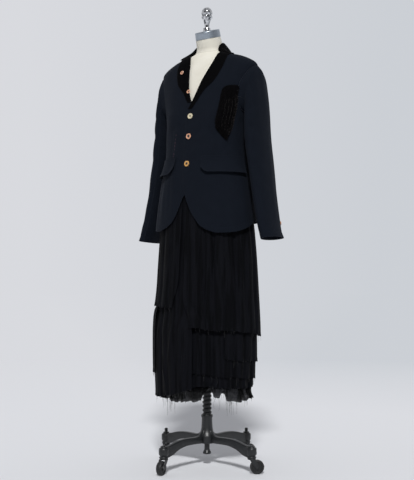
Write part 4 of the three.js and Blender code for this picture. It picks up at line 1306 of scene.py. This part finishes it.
# %% Rings of the sleeve
# outer point across and up, inner point across and up, middle, reach to front and back
sleeve_rings = [
    (207, 1450, 169.5, 1274, 18, 60), (214.5, 1436, 169.5, 1256, 22, 66), (219.5, 1408, 168, 1236, 26, 71),
    (224, 1365, 167, 1214, 28, 76), (228, 1290, 167, 1180, 30, 79), (234, 1190, 172, 1130, 31, 79),
    (248, 1075, 186, 1055, 30, 77), (265, 965, 205, 958, 24, 73), (279, 890, 222, 886, 16, 69),
    (294, 837, 240, 826, 11, 66),
]
CUFF = len(sleeve_rings)


def sleeve_ring(k, turn):
    if k == 0:
        t, z = armhole(turn)
        return jacket_face(t, z, SEAM_GAP + 0.1)
    out_x, out_z, in_x, in_z, middle, reach = sleeve_rings[k - 1]
    share = (1 + np.cos(np.radians(turn))) / 2
    x, z = mix(in_x, out_x, share), mix(in_z, out_z, share)
    return np.stack([x, middle + reach * np.sin(np.radians(turn)), z], -1)


def sleeve_face(turn, v):
    turn, v = np.broadcast_arrays(np.asarray(turn, float), np.asarray(v, float))
    rings = np.stack([sleeve_ring(k, turn) for k in range(CUFF + 1)])
    k = np.clip(np.floor(v).astype(int), 0, CUFF - 1)
    s = (v - k)[..., None]
    here = tuple(np.indices(turn.shape))
    before, start, end, after = [
        rings[(np.clip(k + step, 0, CUFF), *here)] for step in (-1, 0, 1, 2)
    ]
    return 0.5 * (
        before * (-s + 2 * s**2 - s**3) + start * (2 - 5 * s**2 + 3 * s**3)
        + end * (s + 4 * s**2 - 3 * s**3) + after * (-(s**2) + s**3)
    )


SLEEVE_STEP = 1.3  # millimetres round the sleeve for one degree
ROW_STEP = 62  # millimetres along it for one ring
# from turn and ring, to turn and ring, width, height
sleeve_creases = [
    ((-62, 1.6), (-48, 4.2), 12, -2.6), ((-20, 1.6), (-12, 5.2), 15, -1.8), ((22, 1.2), (26, 4.6), 14, -1.6),
    ((-100, 5.1), (-30, 5.7), 9, -2.6), ((-100, 6.0), (-45, 6.5), 9, -2.2), ((-95, 4.3), (-40, 4.7), 9, -1.6),
    ((-70, 6.6), (-60, 9.2), 11, -1.5), ((10, 6.0), (4, 9.0), 14, 1.4), ((60, 5.3), (120, 5.9), 11, -1.8),
    ((64, 2.2), (110, 3.0), 12, -2.0), ((50, 6.8), (60, 9.0), 11, -1.3), ((200, 5.2), (255, 5.6), 9, -2.4),
    ((-8, 0.5), (-30, 1.2), 9, -1.2), ((30, 0.5), (60, 1.3), 10, -1.4),
]


def sleeve_relief(side, turn, v):
    a, b = turn * SLEEVE_STEP, v * ROW_STEP
    total = rumple(a, b, 21 if side > 0 else 22, 90, 0.6)
    if side < 0:
        flatter = 10 * np.exp(-(((v - 1.6) / 1.3) ** 2)) + 6 * np.exp(-(((v - 3.9) / 1.3) ** 2))
        total = total - flatter * np.exp(-(((turn + 30) / 50) ** 2))
    for (t1, v1), (t2, v2), width, height in sleeve_creases:
        start, end = (t1 * SLEEVE_STEP, v1 * ROW_STEP), (t2 * SLEEVE_STEP, v2 * ROW_STEP)
        total = total + crease(a, b, start, end, width, height)
    flare = 4.5 * np.exp(-(((turn - 66) / 20) ** 2)) * ease(9.3, 10, v)
    turned_up = 0.6 * np.exp(-(((v - 9.55) * ROW_STEP / 2.4) ** 2))
    return total * ease(0, 1, v) * (1 - ease(9.5, 10, v)) + flare - turned_up


def sleeve_point(side, turn, v, out=0.0):
    turn, v = np.broadcast_arrays(np.asarray(turn, float), np.asarray(v, float))
    round_it = sleeve_face(turn + 1, v) - sleeve_face(turn - 1, v)
    along = sleeve_face(turn, np.minimum(v + 0.05, CUFF)) - sleeve_face(turn, np.maximum(v - 0.05, 0))
    way = unit(np.cross(along, round_it))
    worn = out + sleeve_relief(side, turn, v)
    return (sleeve_face(turn, v) + way * worn[..., None]) * (side, 1, 1)


# %% Cut the sleeves
SEAM_FRONT, SEAM_BACK = -112.5, 90
SEAM_SHARE = 0.25


def sleeve_place(side, start, end):
    def place(u, v):
        rows = CUFF * (1 - v)
        return sleeve_point(side, mix(start + SEAM_SHARE, end - SEAM_SHARE, u), rows)

    return place


for name, side in [("left", 1), ("right", -1)]:
    upper, under = sleeve_place(side, SEAM_FRONT, SEAM_BACK), sleeve_place(side, SEAM_BACK, 360 + SEAM_FRONT)
    sheet("sleeve_upper_" + name, upper, 48, 110, WOOL, wool)
    sheet("sleeve_under_" + name, under, 34, 110, WOOL, wool, inward=True)

# %% [markdown]
# ## Velvet collar and lapels
# The collar stands up the neck, rolls over and falls onto the shoulders, so it is one
# closed padded section, swept from one lapel round the back to the other and softened by
# subdivision. The lapels are flat velvet, turned down at their edges.

# %% The collar
VELVET = 2.4
COLLAR_ROOM = 1.9
# angle: height of the outer foot, of the crest and of the inner foot
collar_rows = [
    (52, 1499, 1514, 1499), (60, 1506, 1530, 1510), (70, 1512, 1542, 1518), (85, 1516, 1550, 1524),
    (105, 1515, 1552, 1526), (140, 1506, 1550, 1526), (180, 1501, 1549, 1526),
]
collar_foot, collar_crest, collar_inside = table(collar_rows)


def collar_sections(t):
    """Nine points round the collar's section, for each angle."""
    turn, side = np.abs(wrap(t)), np.where(wrap(t) < 0, -1, 1)
    crest_level, inner_level = collar_crest(turn), collar_inside(turn)
    proud = mix(0.5, 1, ease(52, 78, turn))  # the roll is flatter where it meets the lapel

    def raised(level, out, lift):
        return tipped(offset_from(form_face, turn, level, out), level) + upward(lift * proud)

    def foot(out):
        return jacket_face(turn, collar_foot(turn), out)

    over_lapel = 4.5 * (1 - ease(60, 76, turn))
    outer_foot, inner_foot = foot(SEAM_GAP + 0.4 + VELVET + over_lapel), foot(SEAM_GAP + 0.4)
    crest = raised(crest_level, COLLAR_ROOM + 7.2, 0)
    points = [
        raised(inner_level, COLLAR_ROOM, 0), raised(crest_level, COLLAR_ROOM, -2),
        raised(crest_level, COLLAR_ROOM + 2.2, 4.2), raised(crest_level, COLLAR_ROOM + 5.7, 3.6),
        mix(crest, outer_foot, 0.5) + upward(2.9 * proud),
        outer_foot, inner_foot,
        raised(crest_level, COLLAR_ROOM + 3.8, -2.5), raised(inner_level, COLLAR_ROOM + VELVET, 0),
    ]
    return np.stack(points, 1) * np.stack([side, 1 + 0 * side, 1 + 0 * side], -1)[:, None]


COLLAR_START = 52
COLLAR_STEPS = 80


def collar_place(u, v):
    sections = collar_sections(np.linspace(COLLAR_START, 360 - COLLAR_START, COLLAR_STEPS + 1))
    corner = np.round(u * 9).astype(int) % 9
    step = np.round(v * COLLAR_STEPS).astype(int)
    return sections[step, corner]


collar, (collar_round, collar_length, _) = lay_grid(9, COLLAR_STEPS, collar_place)
closed_up(collar, caps=True)
apply_modifier(collar, "SUBSURF", levels=2, render_levels=2)
smooth(collar, 70)
dress(collar, "collar_velvet", velvet, "form", "collar")
print("collar length", round(collar_length, 3), "m, round its section", round(collar_round, 3))

# %% The lapels
LAPEL_ROOM, ROLL, LAPEL_TOP = 1.5, 1.5, 1511
# height: how far across the left lapel's outer edge lies, and the right one's
lapel_edge = dict(zip((1, -1), table([
    (1298, 2, 2), (1312, 12, 12), (1330, 24, 23), (1368, 50, 47), (1392, 76, 70), (1424, 94, 85),
    (1457, 105, 92), (1490, 109, 91), (1511, 109, 88),
])))


def lapel_face(side, t, z, out):
    lap = under_lap(t, z) if side < 0 else 0
    return wool_face(side, t, z, lap + LAPEL_ROOM + out)


def lapel_place(side, foot):
    heights = np.linspace(foot, LAPEL_TOP, 91)
    edge = angle_at(front_edge[side](heights) - ROLL, heights)
    fall = angle_at(lapel_edge[side](heights), heights)

    def place(u, v):
        z = mix(foot, LAPEL_TOP, v)
        t = mix(np.interp(z, heights, edge), np.interp(z, heights, fall), u)
        turned_down = 1.3 * (1 - ease(0, 0.1, u)) + 1.4 * ease(0.93, 1, u)
        crushed = 0.35 * np.sin(z / 9 + 3 * u) * np.sin(z / 23)
        return lapel_face(side, t, z, VELVET - turned_down + crushed)

    return place


for name, side, foot in [("left", 1, 1300), ("right", -1, 1326)]:
    sheet("lapel_" + name, lapel_place(side, foot), 26, 90, VELVET, velvet, held="folded")

# %% [markdown]
# ## Pocket flaps and the shaggy patch
# A flap is sewn along its top edge and stands a little off the cloth at its lower one. The
# patch on the left chest is darned velvet: its ground is uneven, short ends of thread hang
# from it all over, and rows of stitches hold it down.

# %% Pocket flaps
FLAP_TOP, FLAP_DROP, FLAP_FROM, FLAP_TO, FLAP_LIFT = 1122, 60, 20.5, 80, 9.5


def flap_place(side):
    def place(u, v):
        down = 1 - v
        corner = np.maximum(0, 1 - u * 7) ** 2
        t = mix(FLAP_FROM - 1.5 + 1.5 * down * (1 - u), FLAP_TO, u)
        z = FLAP_TOP + 3 - (FLAP_DROP + 1) * down * (1 - 0.3 * corner)
        waved = 0.8 * down * np.sin(9 * u + 1.3 * side)
        stitched = 0.5 * np.exp(-(((down - 0.12) * FLAP_DROP / 1.6) ** 2))
        return wool_face(side, t, z, SEAM_GAP + 0.4 + WOOL + FLAP_LIFT * down**2 + waved - stitched)

    return place


for name, side in [("left", 1), ("right", -1)]:
    sheet("pocket_flap_" + name, flap_place(side), 64, 24, WOOL, wool, held="hung")

# %% The patch's ground
PATCH_THICK, PATCH_FOOT, PATCH_TOP = 3, 1183, 1376
patch_from, patch_to = table([
    (PATCH_FOOT, 50, 53), (1200, 43.5, 56), (1222, 37.5, 60), (1290, 37, 62.5), (1320, 36.5, 60.5),
    (1345, 36.5, 59), (1366, 37.5, 58.5), (1372, 39.5, 57.5), (PATCH_TOP, 43.5, 54),
])


def patch_point(u, z, out):
    t = mix(patch_from(z), patch_to(z), u)
    return wool_face(1, t, z, SEAM_GAP + 0.4 + out)


def patch_place(u, v):
    z = mix(PATCH_FOOT, PATCH_TOP, v)
    lumps = 0.5 * np.sin(u * 21 + z / 7) + 0.4 * np.sin(z / 3.1 + 5 * u)
    return patch_point(u, z, PATCH_THICK + lumps * ease(0, 0.1, u) * (1 - ease(0.9, 1, u)))


sheet("chest_patch", patch_place, 30, 80, PATCH_THICK, velvet, held="laid")

# %% Thread ends and darning on the patch
chance = np.random.default_rng(5)
PATCH_ENDS = 850
DARN_MIDDLE, DARN_STEP = 1268, 5.2
ends = []
for _ in range(PATCH_ENDS):
    share, z = chance.uniform(0.0, 1.0), chance.uniform(PATCH_FOOT + 7, PATCH_TOP - 5)
    length, lean, lift = chance.uniform(6, 15), chance.uniform(-3.5, 3.5), chance.uniform(1.0, 3.2)
    z_line = z - length * np.array([0, 0.35, 0.75, 1.0])
    u_line = share + lean / 55 * np.array([0, 0.3, 0.7, 1.0])
    out = PATCH_THICK + lift * np.array([0, 0.9, 1.0, 0.5])
    ends.append(patch_point(u_line, z_line, out))
patch_ends = dress(strands("patch_ends", ends, 0.45, 3), "patch_ends", velvet, "form")

darning = []
for column, reach in [(0.34, 52), (0.52, 58), (0.70, 66), (0.86, 74)]:
    for step in range(int(2 * reach / DARN_STEP)):
        z = DARN_MIDDLE + reach - step * DARN_STEP + chance.uniform(-0.8, 0.8)
        u = column + chance.uniform(-0.02, 0.02)
        darning.append(patch_point(np.full(3, u), np.array([z, z - 1.4, z - 2.8]),
                                   PATCH_THICK + np.array([0.4, 1.9, 0.4])))
for step in range(26):
    z = 1340 - step * 5.6
    darning.append(patch_point(np.array([0.9, 0.98, 1.07]), np.full(3, z) + chance.uniform(-1, 1),
                               PATCH_THICK + np.array([0.8, 1.3, -2.2])))
darned = dress(strands("patch_darning", darning, 0.4, 4), "patch_darning", umber_thread, "form")
SHEETS["chest_patch"]["trim"] += [patch_ends, darned]
print("patch threads", len(ends), "stitches", len(darning))

# %% [markdown]
# ## Buttons
# A button is a turned disc of horn with a dished face and a raised rim. Here each one is
# sewn on through its middle, so a dark knot of thread fills the dish. The discs differ,
# cream, copper and amber, because they were picked one by one.

# %% Sew on the buttons
BUTTON_RADIUS = 10.5
BUTTON_ROOM = 0.25
SMALL = 0.72
disc = [(0.05, 0), (0.7, 0), (0.84, 0.04), (0.95, 0.1), (1, 0.17), (0.985, 0.27), (0.94, 0.37),
        (0.87, 0.42), (0.8, 0.42), (0.72, 0.385), (0.62, 0.34), (0.5, 0.28), (0.36, 0.25), (0.05, 0.24)]
knot = [(0.05, 0.2), (0.34, 0.2), (0.36, 0.27), (0.3, 0.33), (0.16, 0.36), (0.05, 0.365)]


def stood_on(piece, place, way):
    """Stands a piece made on the floor at a place, with its top looking along way."""
    piece.rotation_euler = Vector(way).to_track_quat("Z", "Y").to_euler()
    piece.location = Vector(place) * MM
    settle(piece)


def way_out(surface):
    """The place at (0, 0) of a small patch of surface, and the way it faces."""
    place = surface(0.0, 0.0)
    across, up = surface(1.0, 0.0) - surface(-1.0, 0.0), surface(0.0, 1.0) - surface(0.0, -1.0)
    way = unit(np.cross(across, up))
    return place, way if np.dot(way, place * (1, 1, 0)) > 0 else -way


def sew_button(name, surface, size, finish, thread_size=1.0):
    place, way = way_out(surface)
    scale = BUTTON_RADIUS * size
    button = turned([(r * scale, z * scale) for r, z in disc], 40)
    stood_on(button, place, way)
    smooth(button, 40)
    dress(button, name + "_disc", finish, "form", name)
    middle = turned([(r * scale * thread_size, z * scale) for r, z in knot], 20)
    stood_on(middle, place, way)
    smooth(middle, 60)
    dress(middle, name + "_knot", black_thread, "form")


def on_front(side, turn, level, out):
    """The cloth round one spot, by millimetres across and up."""
    return lambda a, b: wool_face(side, turn + a / GIRTH_STEP, level + b, out)


def on_cuff(side):
    return lambda a, b: sleeve_point(side, 67.5 + a / SLEEVE_STEP, 9 + b / ROW_STEP, 0.5)


for name, level, finish, slot, share in [
    ("button_1", 1272, cream_horn, "horn_cream", 0.75),
    ("button_2", 1198, copper_horn, "horn_copper", 1.35),
    ("button_3", 1099, amber_horn, "horn_amber", 1.15),
]:
    sew_button(name, on_front(1, 0, level, BUTTON_ROOM), 1.0, finish, share)
for name, across, level in [("button_4", 17, 1364), ("button_5", 62, 1442)]:
    turn = float(angle_at(across, level))
    out = float(under_lap(turn, level)) + LAPEL_ROOM + VELVET + BUTTON_ROOM
    sew_button(name, on_front(-1, turn, level, out), SMALL, copper_horn, 1.1)
for name, side in [("left", 1), ("right", -1)]:
    sew_button("cuff_button_" + name, on_cuff(side), SMALL, copper_horn, 1.1)
print("buttons", 7)

# %% [markdown]
# ## The skirt's folds
# The layers of the skirt hang from one waist, so their folds lie over each other. They are
# narrow valleys between flatter stretches, at uneven distances, deepest at the hem and
# gone at the waist. One list of folds serves every layer, and a small ripple of its own
# sets each layer apart.

# %% One set of folds for every layer
SKIRT_ROOM = 1.7


def skirt_form(t, z):
    near_front = 1 - ease(22, 36, np.abs(wrap(t)))
    inside = offset_from(plain_jacket, t, z, -(WOOL + SKIRT_ROOM + (WOOL + SEAM_GAP) * near_front))
    return mix(section_point(skirt_sections, t, z), inside, ease(950, WAIST_SEAM, z)[..., None])


# angle, half width in degrees, depth
skirt_folds = [
    (-172, 4, 5), (-152, 3, 4.5), (-131, 5, 6), (-112, 3, 4.5), (-95, 4, 5.5), (-78, 3, 4.5),
    (-60, 4, 3.5), (-47, 3, 2.2), (-33, 2.4, 4), (-18, 3.4, 3.2), (-8, 2.2, 4.5), (4.5, 2.4, 5),
    (17, 2.2, 4.5), (24, 1.8, 4.5), (33, 2.6, 6.5), (47, 2.2, 3.5), (60, 3.4, 7), (75, 2.6, 4),
    (92, 3.4, 5.5), (108, 2.6, 4), (124, 4, 6), (141, 2.8, 4.5), (158, 3.4, 5.5), (174, 2.4, 4),
]
swells = [(3, 0.9, 0.3), (7, 0.9, 1.9), (12, 0.7, 4.0)]  # waves round the skirt, height, start


def fold_depth(t, z):
    total = 0
    for turn, wide, deep in skirt_folds:
        sway = 2.6 * np.sin(z / 130 + turn) * (1 - z / 1000)
        total = total - deep * np.exp(-((wrap(t - turn - sway) / wide) ** 2))
    for count, height, start in swells:
        total = total + height * np.sin(np.radians(count * t) + start + z / 400)
    hanging = 1 - ease(870, 1005, z)
    return total * hanging * (1 + 0.3 * (1 - ease(300, 620, z)))


def own_ripple(t, z, seed, height):
    """Fine upright ripples that belong to one layer only."""
    chance = np.random.default_rng(seed)
    total = 0
    for count in (17, 29, 46, 71):
        start, drift = chance.uniform(0, 6.28), chance.uniform(60, 140)
        wave = np.sin(np.radians(count * t) + start + np.sin(z / drift + start))
        total = total + wave * (17 / count) ** 0.6
    return height * total / 2


def ragged(t, seed, height=2.4):
    """The torn line of a raw hem."""
    chance = np.random.default_rng(seed)
    total = 0
    for count in (9, 23, 61, 140, 233):
        total = total + np.sin(np.radians(count * t) + chance.uniform(0, 6.28)) * (23 / count) ** 0.35
    return height * total / 2.5


# %% How a layer is hung
GAUZE = 1.2
SLIP_DEPTH = [(230, -21), (280, -31), (460, -31), (650, -29), (860, -19), (WAIST_SEAM, -4)]


def straight(rows):
    heights, values = zip(*rows)
    return lambda x: np.interp(x, heights, values)


def on_slip(level, further=0.0):
    return level, float(straight(SLIP_DEPTH)(level)) + GAUZE + SEAM_GAP - further


def layer_place(span, hem, depth, seed, ripple=0.7, crowd=1.0, lean=(0, 0), creases=(), extra=None):
    """Where a layer's cloth hangs: between two angles, from its hem up to its top edge."""
    line, depth_at = straight(hem), straight(depth)
    top = depth[-1][0]

    def place(u, v):
        low, high = span
        t = mix(low, high, u)
        foot = line(t) + ragged(t, seed)
        z = mix(foot, top, v**crowd)
        above = z - foot
        t = t + (lean[0] * (1 - u) ** 3 + lean[1] * u**3) * (1 - ease(0, 110, above))
        free = 1 - ease(top - 130, top, z)
        curl = 1.6 * np.sin(np.radians(53 * t) + seed) * (1 - ease(0, 22, above))
        out = depth_at(z) + fold_depth(t, z) + own_ripple(t, z, seed, ripple) * free + curl
        for (t1, z1), (t2, z2), width, height in creases:
            start, end = (t1 * GIRTH_STEP, z1), (t2 * GIRTH_STEP, z2)
            out = out + crease(t * GIRTH_STEP, z, start, end, width, height)
        if extra:
            out = out + extra(t, z)
        return offset_from(skirt_form, t, z, out)

    return place


# %% Hang the slip and the layers over it
def slip_ruffle(t, z):
    wave = np.sin(np.radians(40 * t) + 0.8 * np.sin(np.radians(5 * t)))
    frill = np.sin(np.radians(113 * t) + 2 * np.sin(np.radians(9 * t)))
    return (6.5 * wave + 2 * frill) * (1 - ease(246, 284, z))


def overlay_tuck(t, z):
    """The right overlay goes under the left one at the back, and flares at its hem."""
    tuck = -(1.75 + 5.5 * ease(WAIST_SEAM, 920, z)) * (1 - ease(197, 204, t))
    return tuck + 5 * (1 - ease(555, 680, z)) * ease(215, 250, t)


def panel_edge(t, z):
    """The long panel's free edge turns in under the layers beside it."""
    return -7 * ease(3, 11, t) * (1 - ease(470, 540, z))


slip_hem = [
    (-90, 252), (-45, 251), (-24, 250), (-22, 244), (-12, 244), (-10, 249), (14, 250), (19, 256),
    (22, 280), (26, 296), (31, 294), (34, 268), (41, 266), (44, 281), (48, 279), (51, 252), (70, 249),
    (95, 253), (112, 256), (140, 258), (165, 250), (190, 254), (215, 247), (240, 257), (270, 252),
]
lower_turns = np.arange(0, 363, 6.0)
lower_hem = list(zip(lower_turns, 300 + 4 * np.sin(np.radians(3 * lower_turns) + 0.4)))
level_top = [(400, 0), (WAIST_SEAM, 0)]

overlay_creases = [
    ((-1, 668), (13, 520), 6, 4.0), ((2, 640), (9, 560), 5, -4.0), ((3, 600), (19, 516), 5, 3.0),
    ((22, 880), (24, 545), 7, -4.5), ((33, 860), (35, 530), 5, -3.0), ((52, 880), (54, 640), 5, -2.5),
    ((61, 880), (63, 530), 9, -5.0), ((71, 860), (73, 560), 5, -3.0), ((8, 610), (24, 530), 6, -3.5),
    ((62, 640), (70, 520), 9, 2.5), ((88, 700), (96, 560), 10, -3.0),
]
panel_creases = [
    ((-30, 420), (-22, 300), 5, 2.6), ((-12, 520), (-18, 380), 6, 2.4), ((2, 500), (-3, 360), 5, -2.6),
    ((-36, 540), (-44, 400), 6, 2.2),
]

slip_ways = {"seed": 31, "ripple": 0.4, "crowd": 2.0, "extra": slip_ruffle}

# name: angles, hem, depth, columns, rows, further settings
layers = {
    "slip_front": ((-89.9, 89.9), slip_hem, SLIP_DEPTH, 260, 46, slip_ways),
    "slip_back": ((90.1, 269.9), slip_hem, SLIP_DEPTH, 260, 46, slip_ways),
    "overlay_left": ((0.5, 196), [(0, 514), (14, 513), (30, 506), (60, 503), (120, 478), (196, 486)],
                     level_top, 220, 90, {"seed": 32, "lean": (7.5, 0), "creases": overlay_creases}),
    "overlay_right": ((186, 353.5), [(186, 574), (206, 585), (240, 588), (300, 590), (353, 583)], level_top,
                      190, 84, {"seed": 33, "lean": (0, -5), "extra": overlay_tuck}),
    "long_panel": ((-57, 11), [(-57, 259), (-40, 258), (-36, 260), (-22, 268), (-4, 284), (11, 296)],
                   [(240, 1), (500, -1), (556, -7.5), (860, -8), (WAIST_SEAM, -1.8)], 110, 130,
                   {"seed": 34, "crowd": 1.2, "creases": panel_creases, "extra": panel_edge}),
    "side_panel": ((206, 317), [(206, 352), (250, 360), (317, 342)],
                   [(340, 7), (500, 7.5), (548, 6.5), (572, 4), (583, 0), (590, -4), (600, -7.8),
                    on_slip(670)],
                   130, 84, {"seed": 35, "crowd": 1.1}),
    "tier_upper": ((47, 210), [(47, 404), (70, 397), (120, 388), (210, 402)],
                   [(380, -13), (500, -14), on_slip(620)], 180, 44, {"seed": 36, "crowd": 1.3}),
    "tier_middle": ((4, 214), [(4, 353), (12, 351), (50, 338), (120, 325), (214, 334)],
                    [(320, -19), (470, -20), on_slip(575, 0.7)], 230, 44, {"seed": 37, "crowd": 1.3}),
    "tier_lower": ((0, 360), lower_hem, [(285, -25), (440, -26), on_slip(520, 0.7)], 340, 40,
                   {"seed": 38, "ripple": 0.6, "crowd": 1.3}),
}
LAYER_PLACES = {}
for name, (span, hem, depth, columns, rows, extra) in layers.items():
    LAYER_PLACES[name] = layer_place(span, hem, depth, **extra)
    is_slip = name.startswith("slip")
    finish, slot = (sheer, "sheer_crepe") if is_slip else (crepe, "crepe")
    sheet(name, LAYER_PLACES[name], columns, rows, GAUZE, finish,
          closed=name == "tier_lower", held="gathered" if is_slip else "hung")

# %% [markdown]
# ## Loose threads
# The layers are torn, not hemmed, so their lower edges shed threads. Each is a short
# strand that starts in the cloth and hangs down a little crooked.

# %% Threads at the raw edges
def hanging_thread(start, length, lean):
    """Points down a thread from a place on a hem."""
    share = np.linspace(0, 1, 6)
    drop = np.outer(share * length, (0, 0, -1))
    side = np.outer(np.sin(share * 2.6) * lean, (start[1], -start[0], 0)) / 180
    return start + drop + side


threads = {}
thread_plan = {
    "overlay_left": 46, "overlay_right": 34, "long_panel": 26, "side_panel": 26, "tier_upper": 34,
    "tier_middle": 38, "slip_front": 80, "slip_back": 24,
}
for name, count in thread_plan.items():
    lines = []
    for step in range(count):
        length = 4 + 26 * chance.uniform(0, 1) ** 3
        along = chance.uniform(0.01, 0.99)
        if name == "slip_front" and step % 5:  # most of its long threads hang in two places
            length = 10 + 52 * chance.uniform(0, 1) ** 2
            along = 0.5 + (chance.normal(-30, 8) if step % 2 else chance.normal(56, 9)) / 180
        start = LAYER_PLACES[name](np.array([[along]]), np.array([[0.004]]))[0, 0]
        start = start - unit(start * (1, 1, 0)) * 0.5
        lines.append(hanging_thread(start, length, chance.uniform(-6, 6)))
    piece = strands(name + "_threads", lines, 0.26, 3)
    SHEETS[name]["trim"].append(dress(piece, name + "_threads", black_thread, "form"))
print("loose threads", sum(thread_plan.values()))

# %% Mending stitches on the wool
mends = []
for step in range(7):
    level = 1210 - step * 13 + chance.uniform(-2, 2)
    spot = np.array([level, level - 2, level - 4])
    mends.append(wool_face(-1, np.full(3, 22 + 0.4 * step), spot, np.array([0.1, 0.9, 0.1])))
mending = dress(strands("mending_stitches", mends, 0.5, 4), "mending_stitches", plum_thread, "form")
SHEETS["front_right"]["trim"].append(mending)
print("mends", len(mends))

# %% [markdown]
# ## What each sheet is
# Last, what each sheet rests on is listed, and its area is bounded by the size it was cut to.
# The flat size is measured along the cloth, and the area leaves out what the cut takes off.

SLIPS = ["slip_front", "slip_back"]
LEAST_SHARE = 0.31  # of a sheet's flat width times its length
rests = {name: ["form_torso"] for name in ("front_left", "front_right", "back_left", "back_right", *SLIPS)}
for name in ("overlay_left", "overlay_right", "side_panel", "tier_upper", "tier_middle", "tier_lower"):
    rests[name] = SLIPS
for side in ("left", "right"):
    for part in ("upper", "under"):
        rests[f"sleeve_{part}_{side}"] = ["front_" + side, "back_" + side]
    rests["lapel_" + side] = rests["pocket_flap_" + side] = ["front_" + side]
rests["long_panel"] = ["slip_front"]
rests["chest_patch"] = ["front_left"]
for node, cut in SHEETS.items():
    width, length = cut["flat"]
    area = min(max(cut["area"], LEAST_SHARE * width * length), width * length)
print("sheets", len(SHEETS))

# %% Print the sizes
low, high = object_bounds()
grown = [(high[i] - low[i]) - (cad_high[i] - cad_low[i]) for i in range(3)]
print("grown by", [round(x * 1000, 1) for x in grown], "mm")
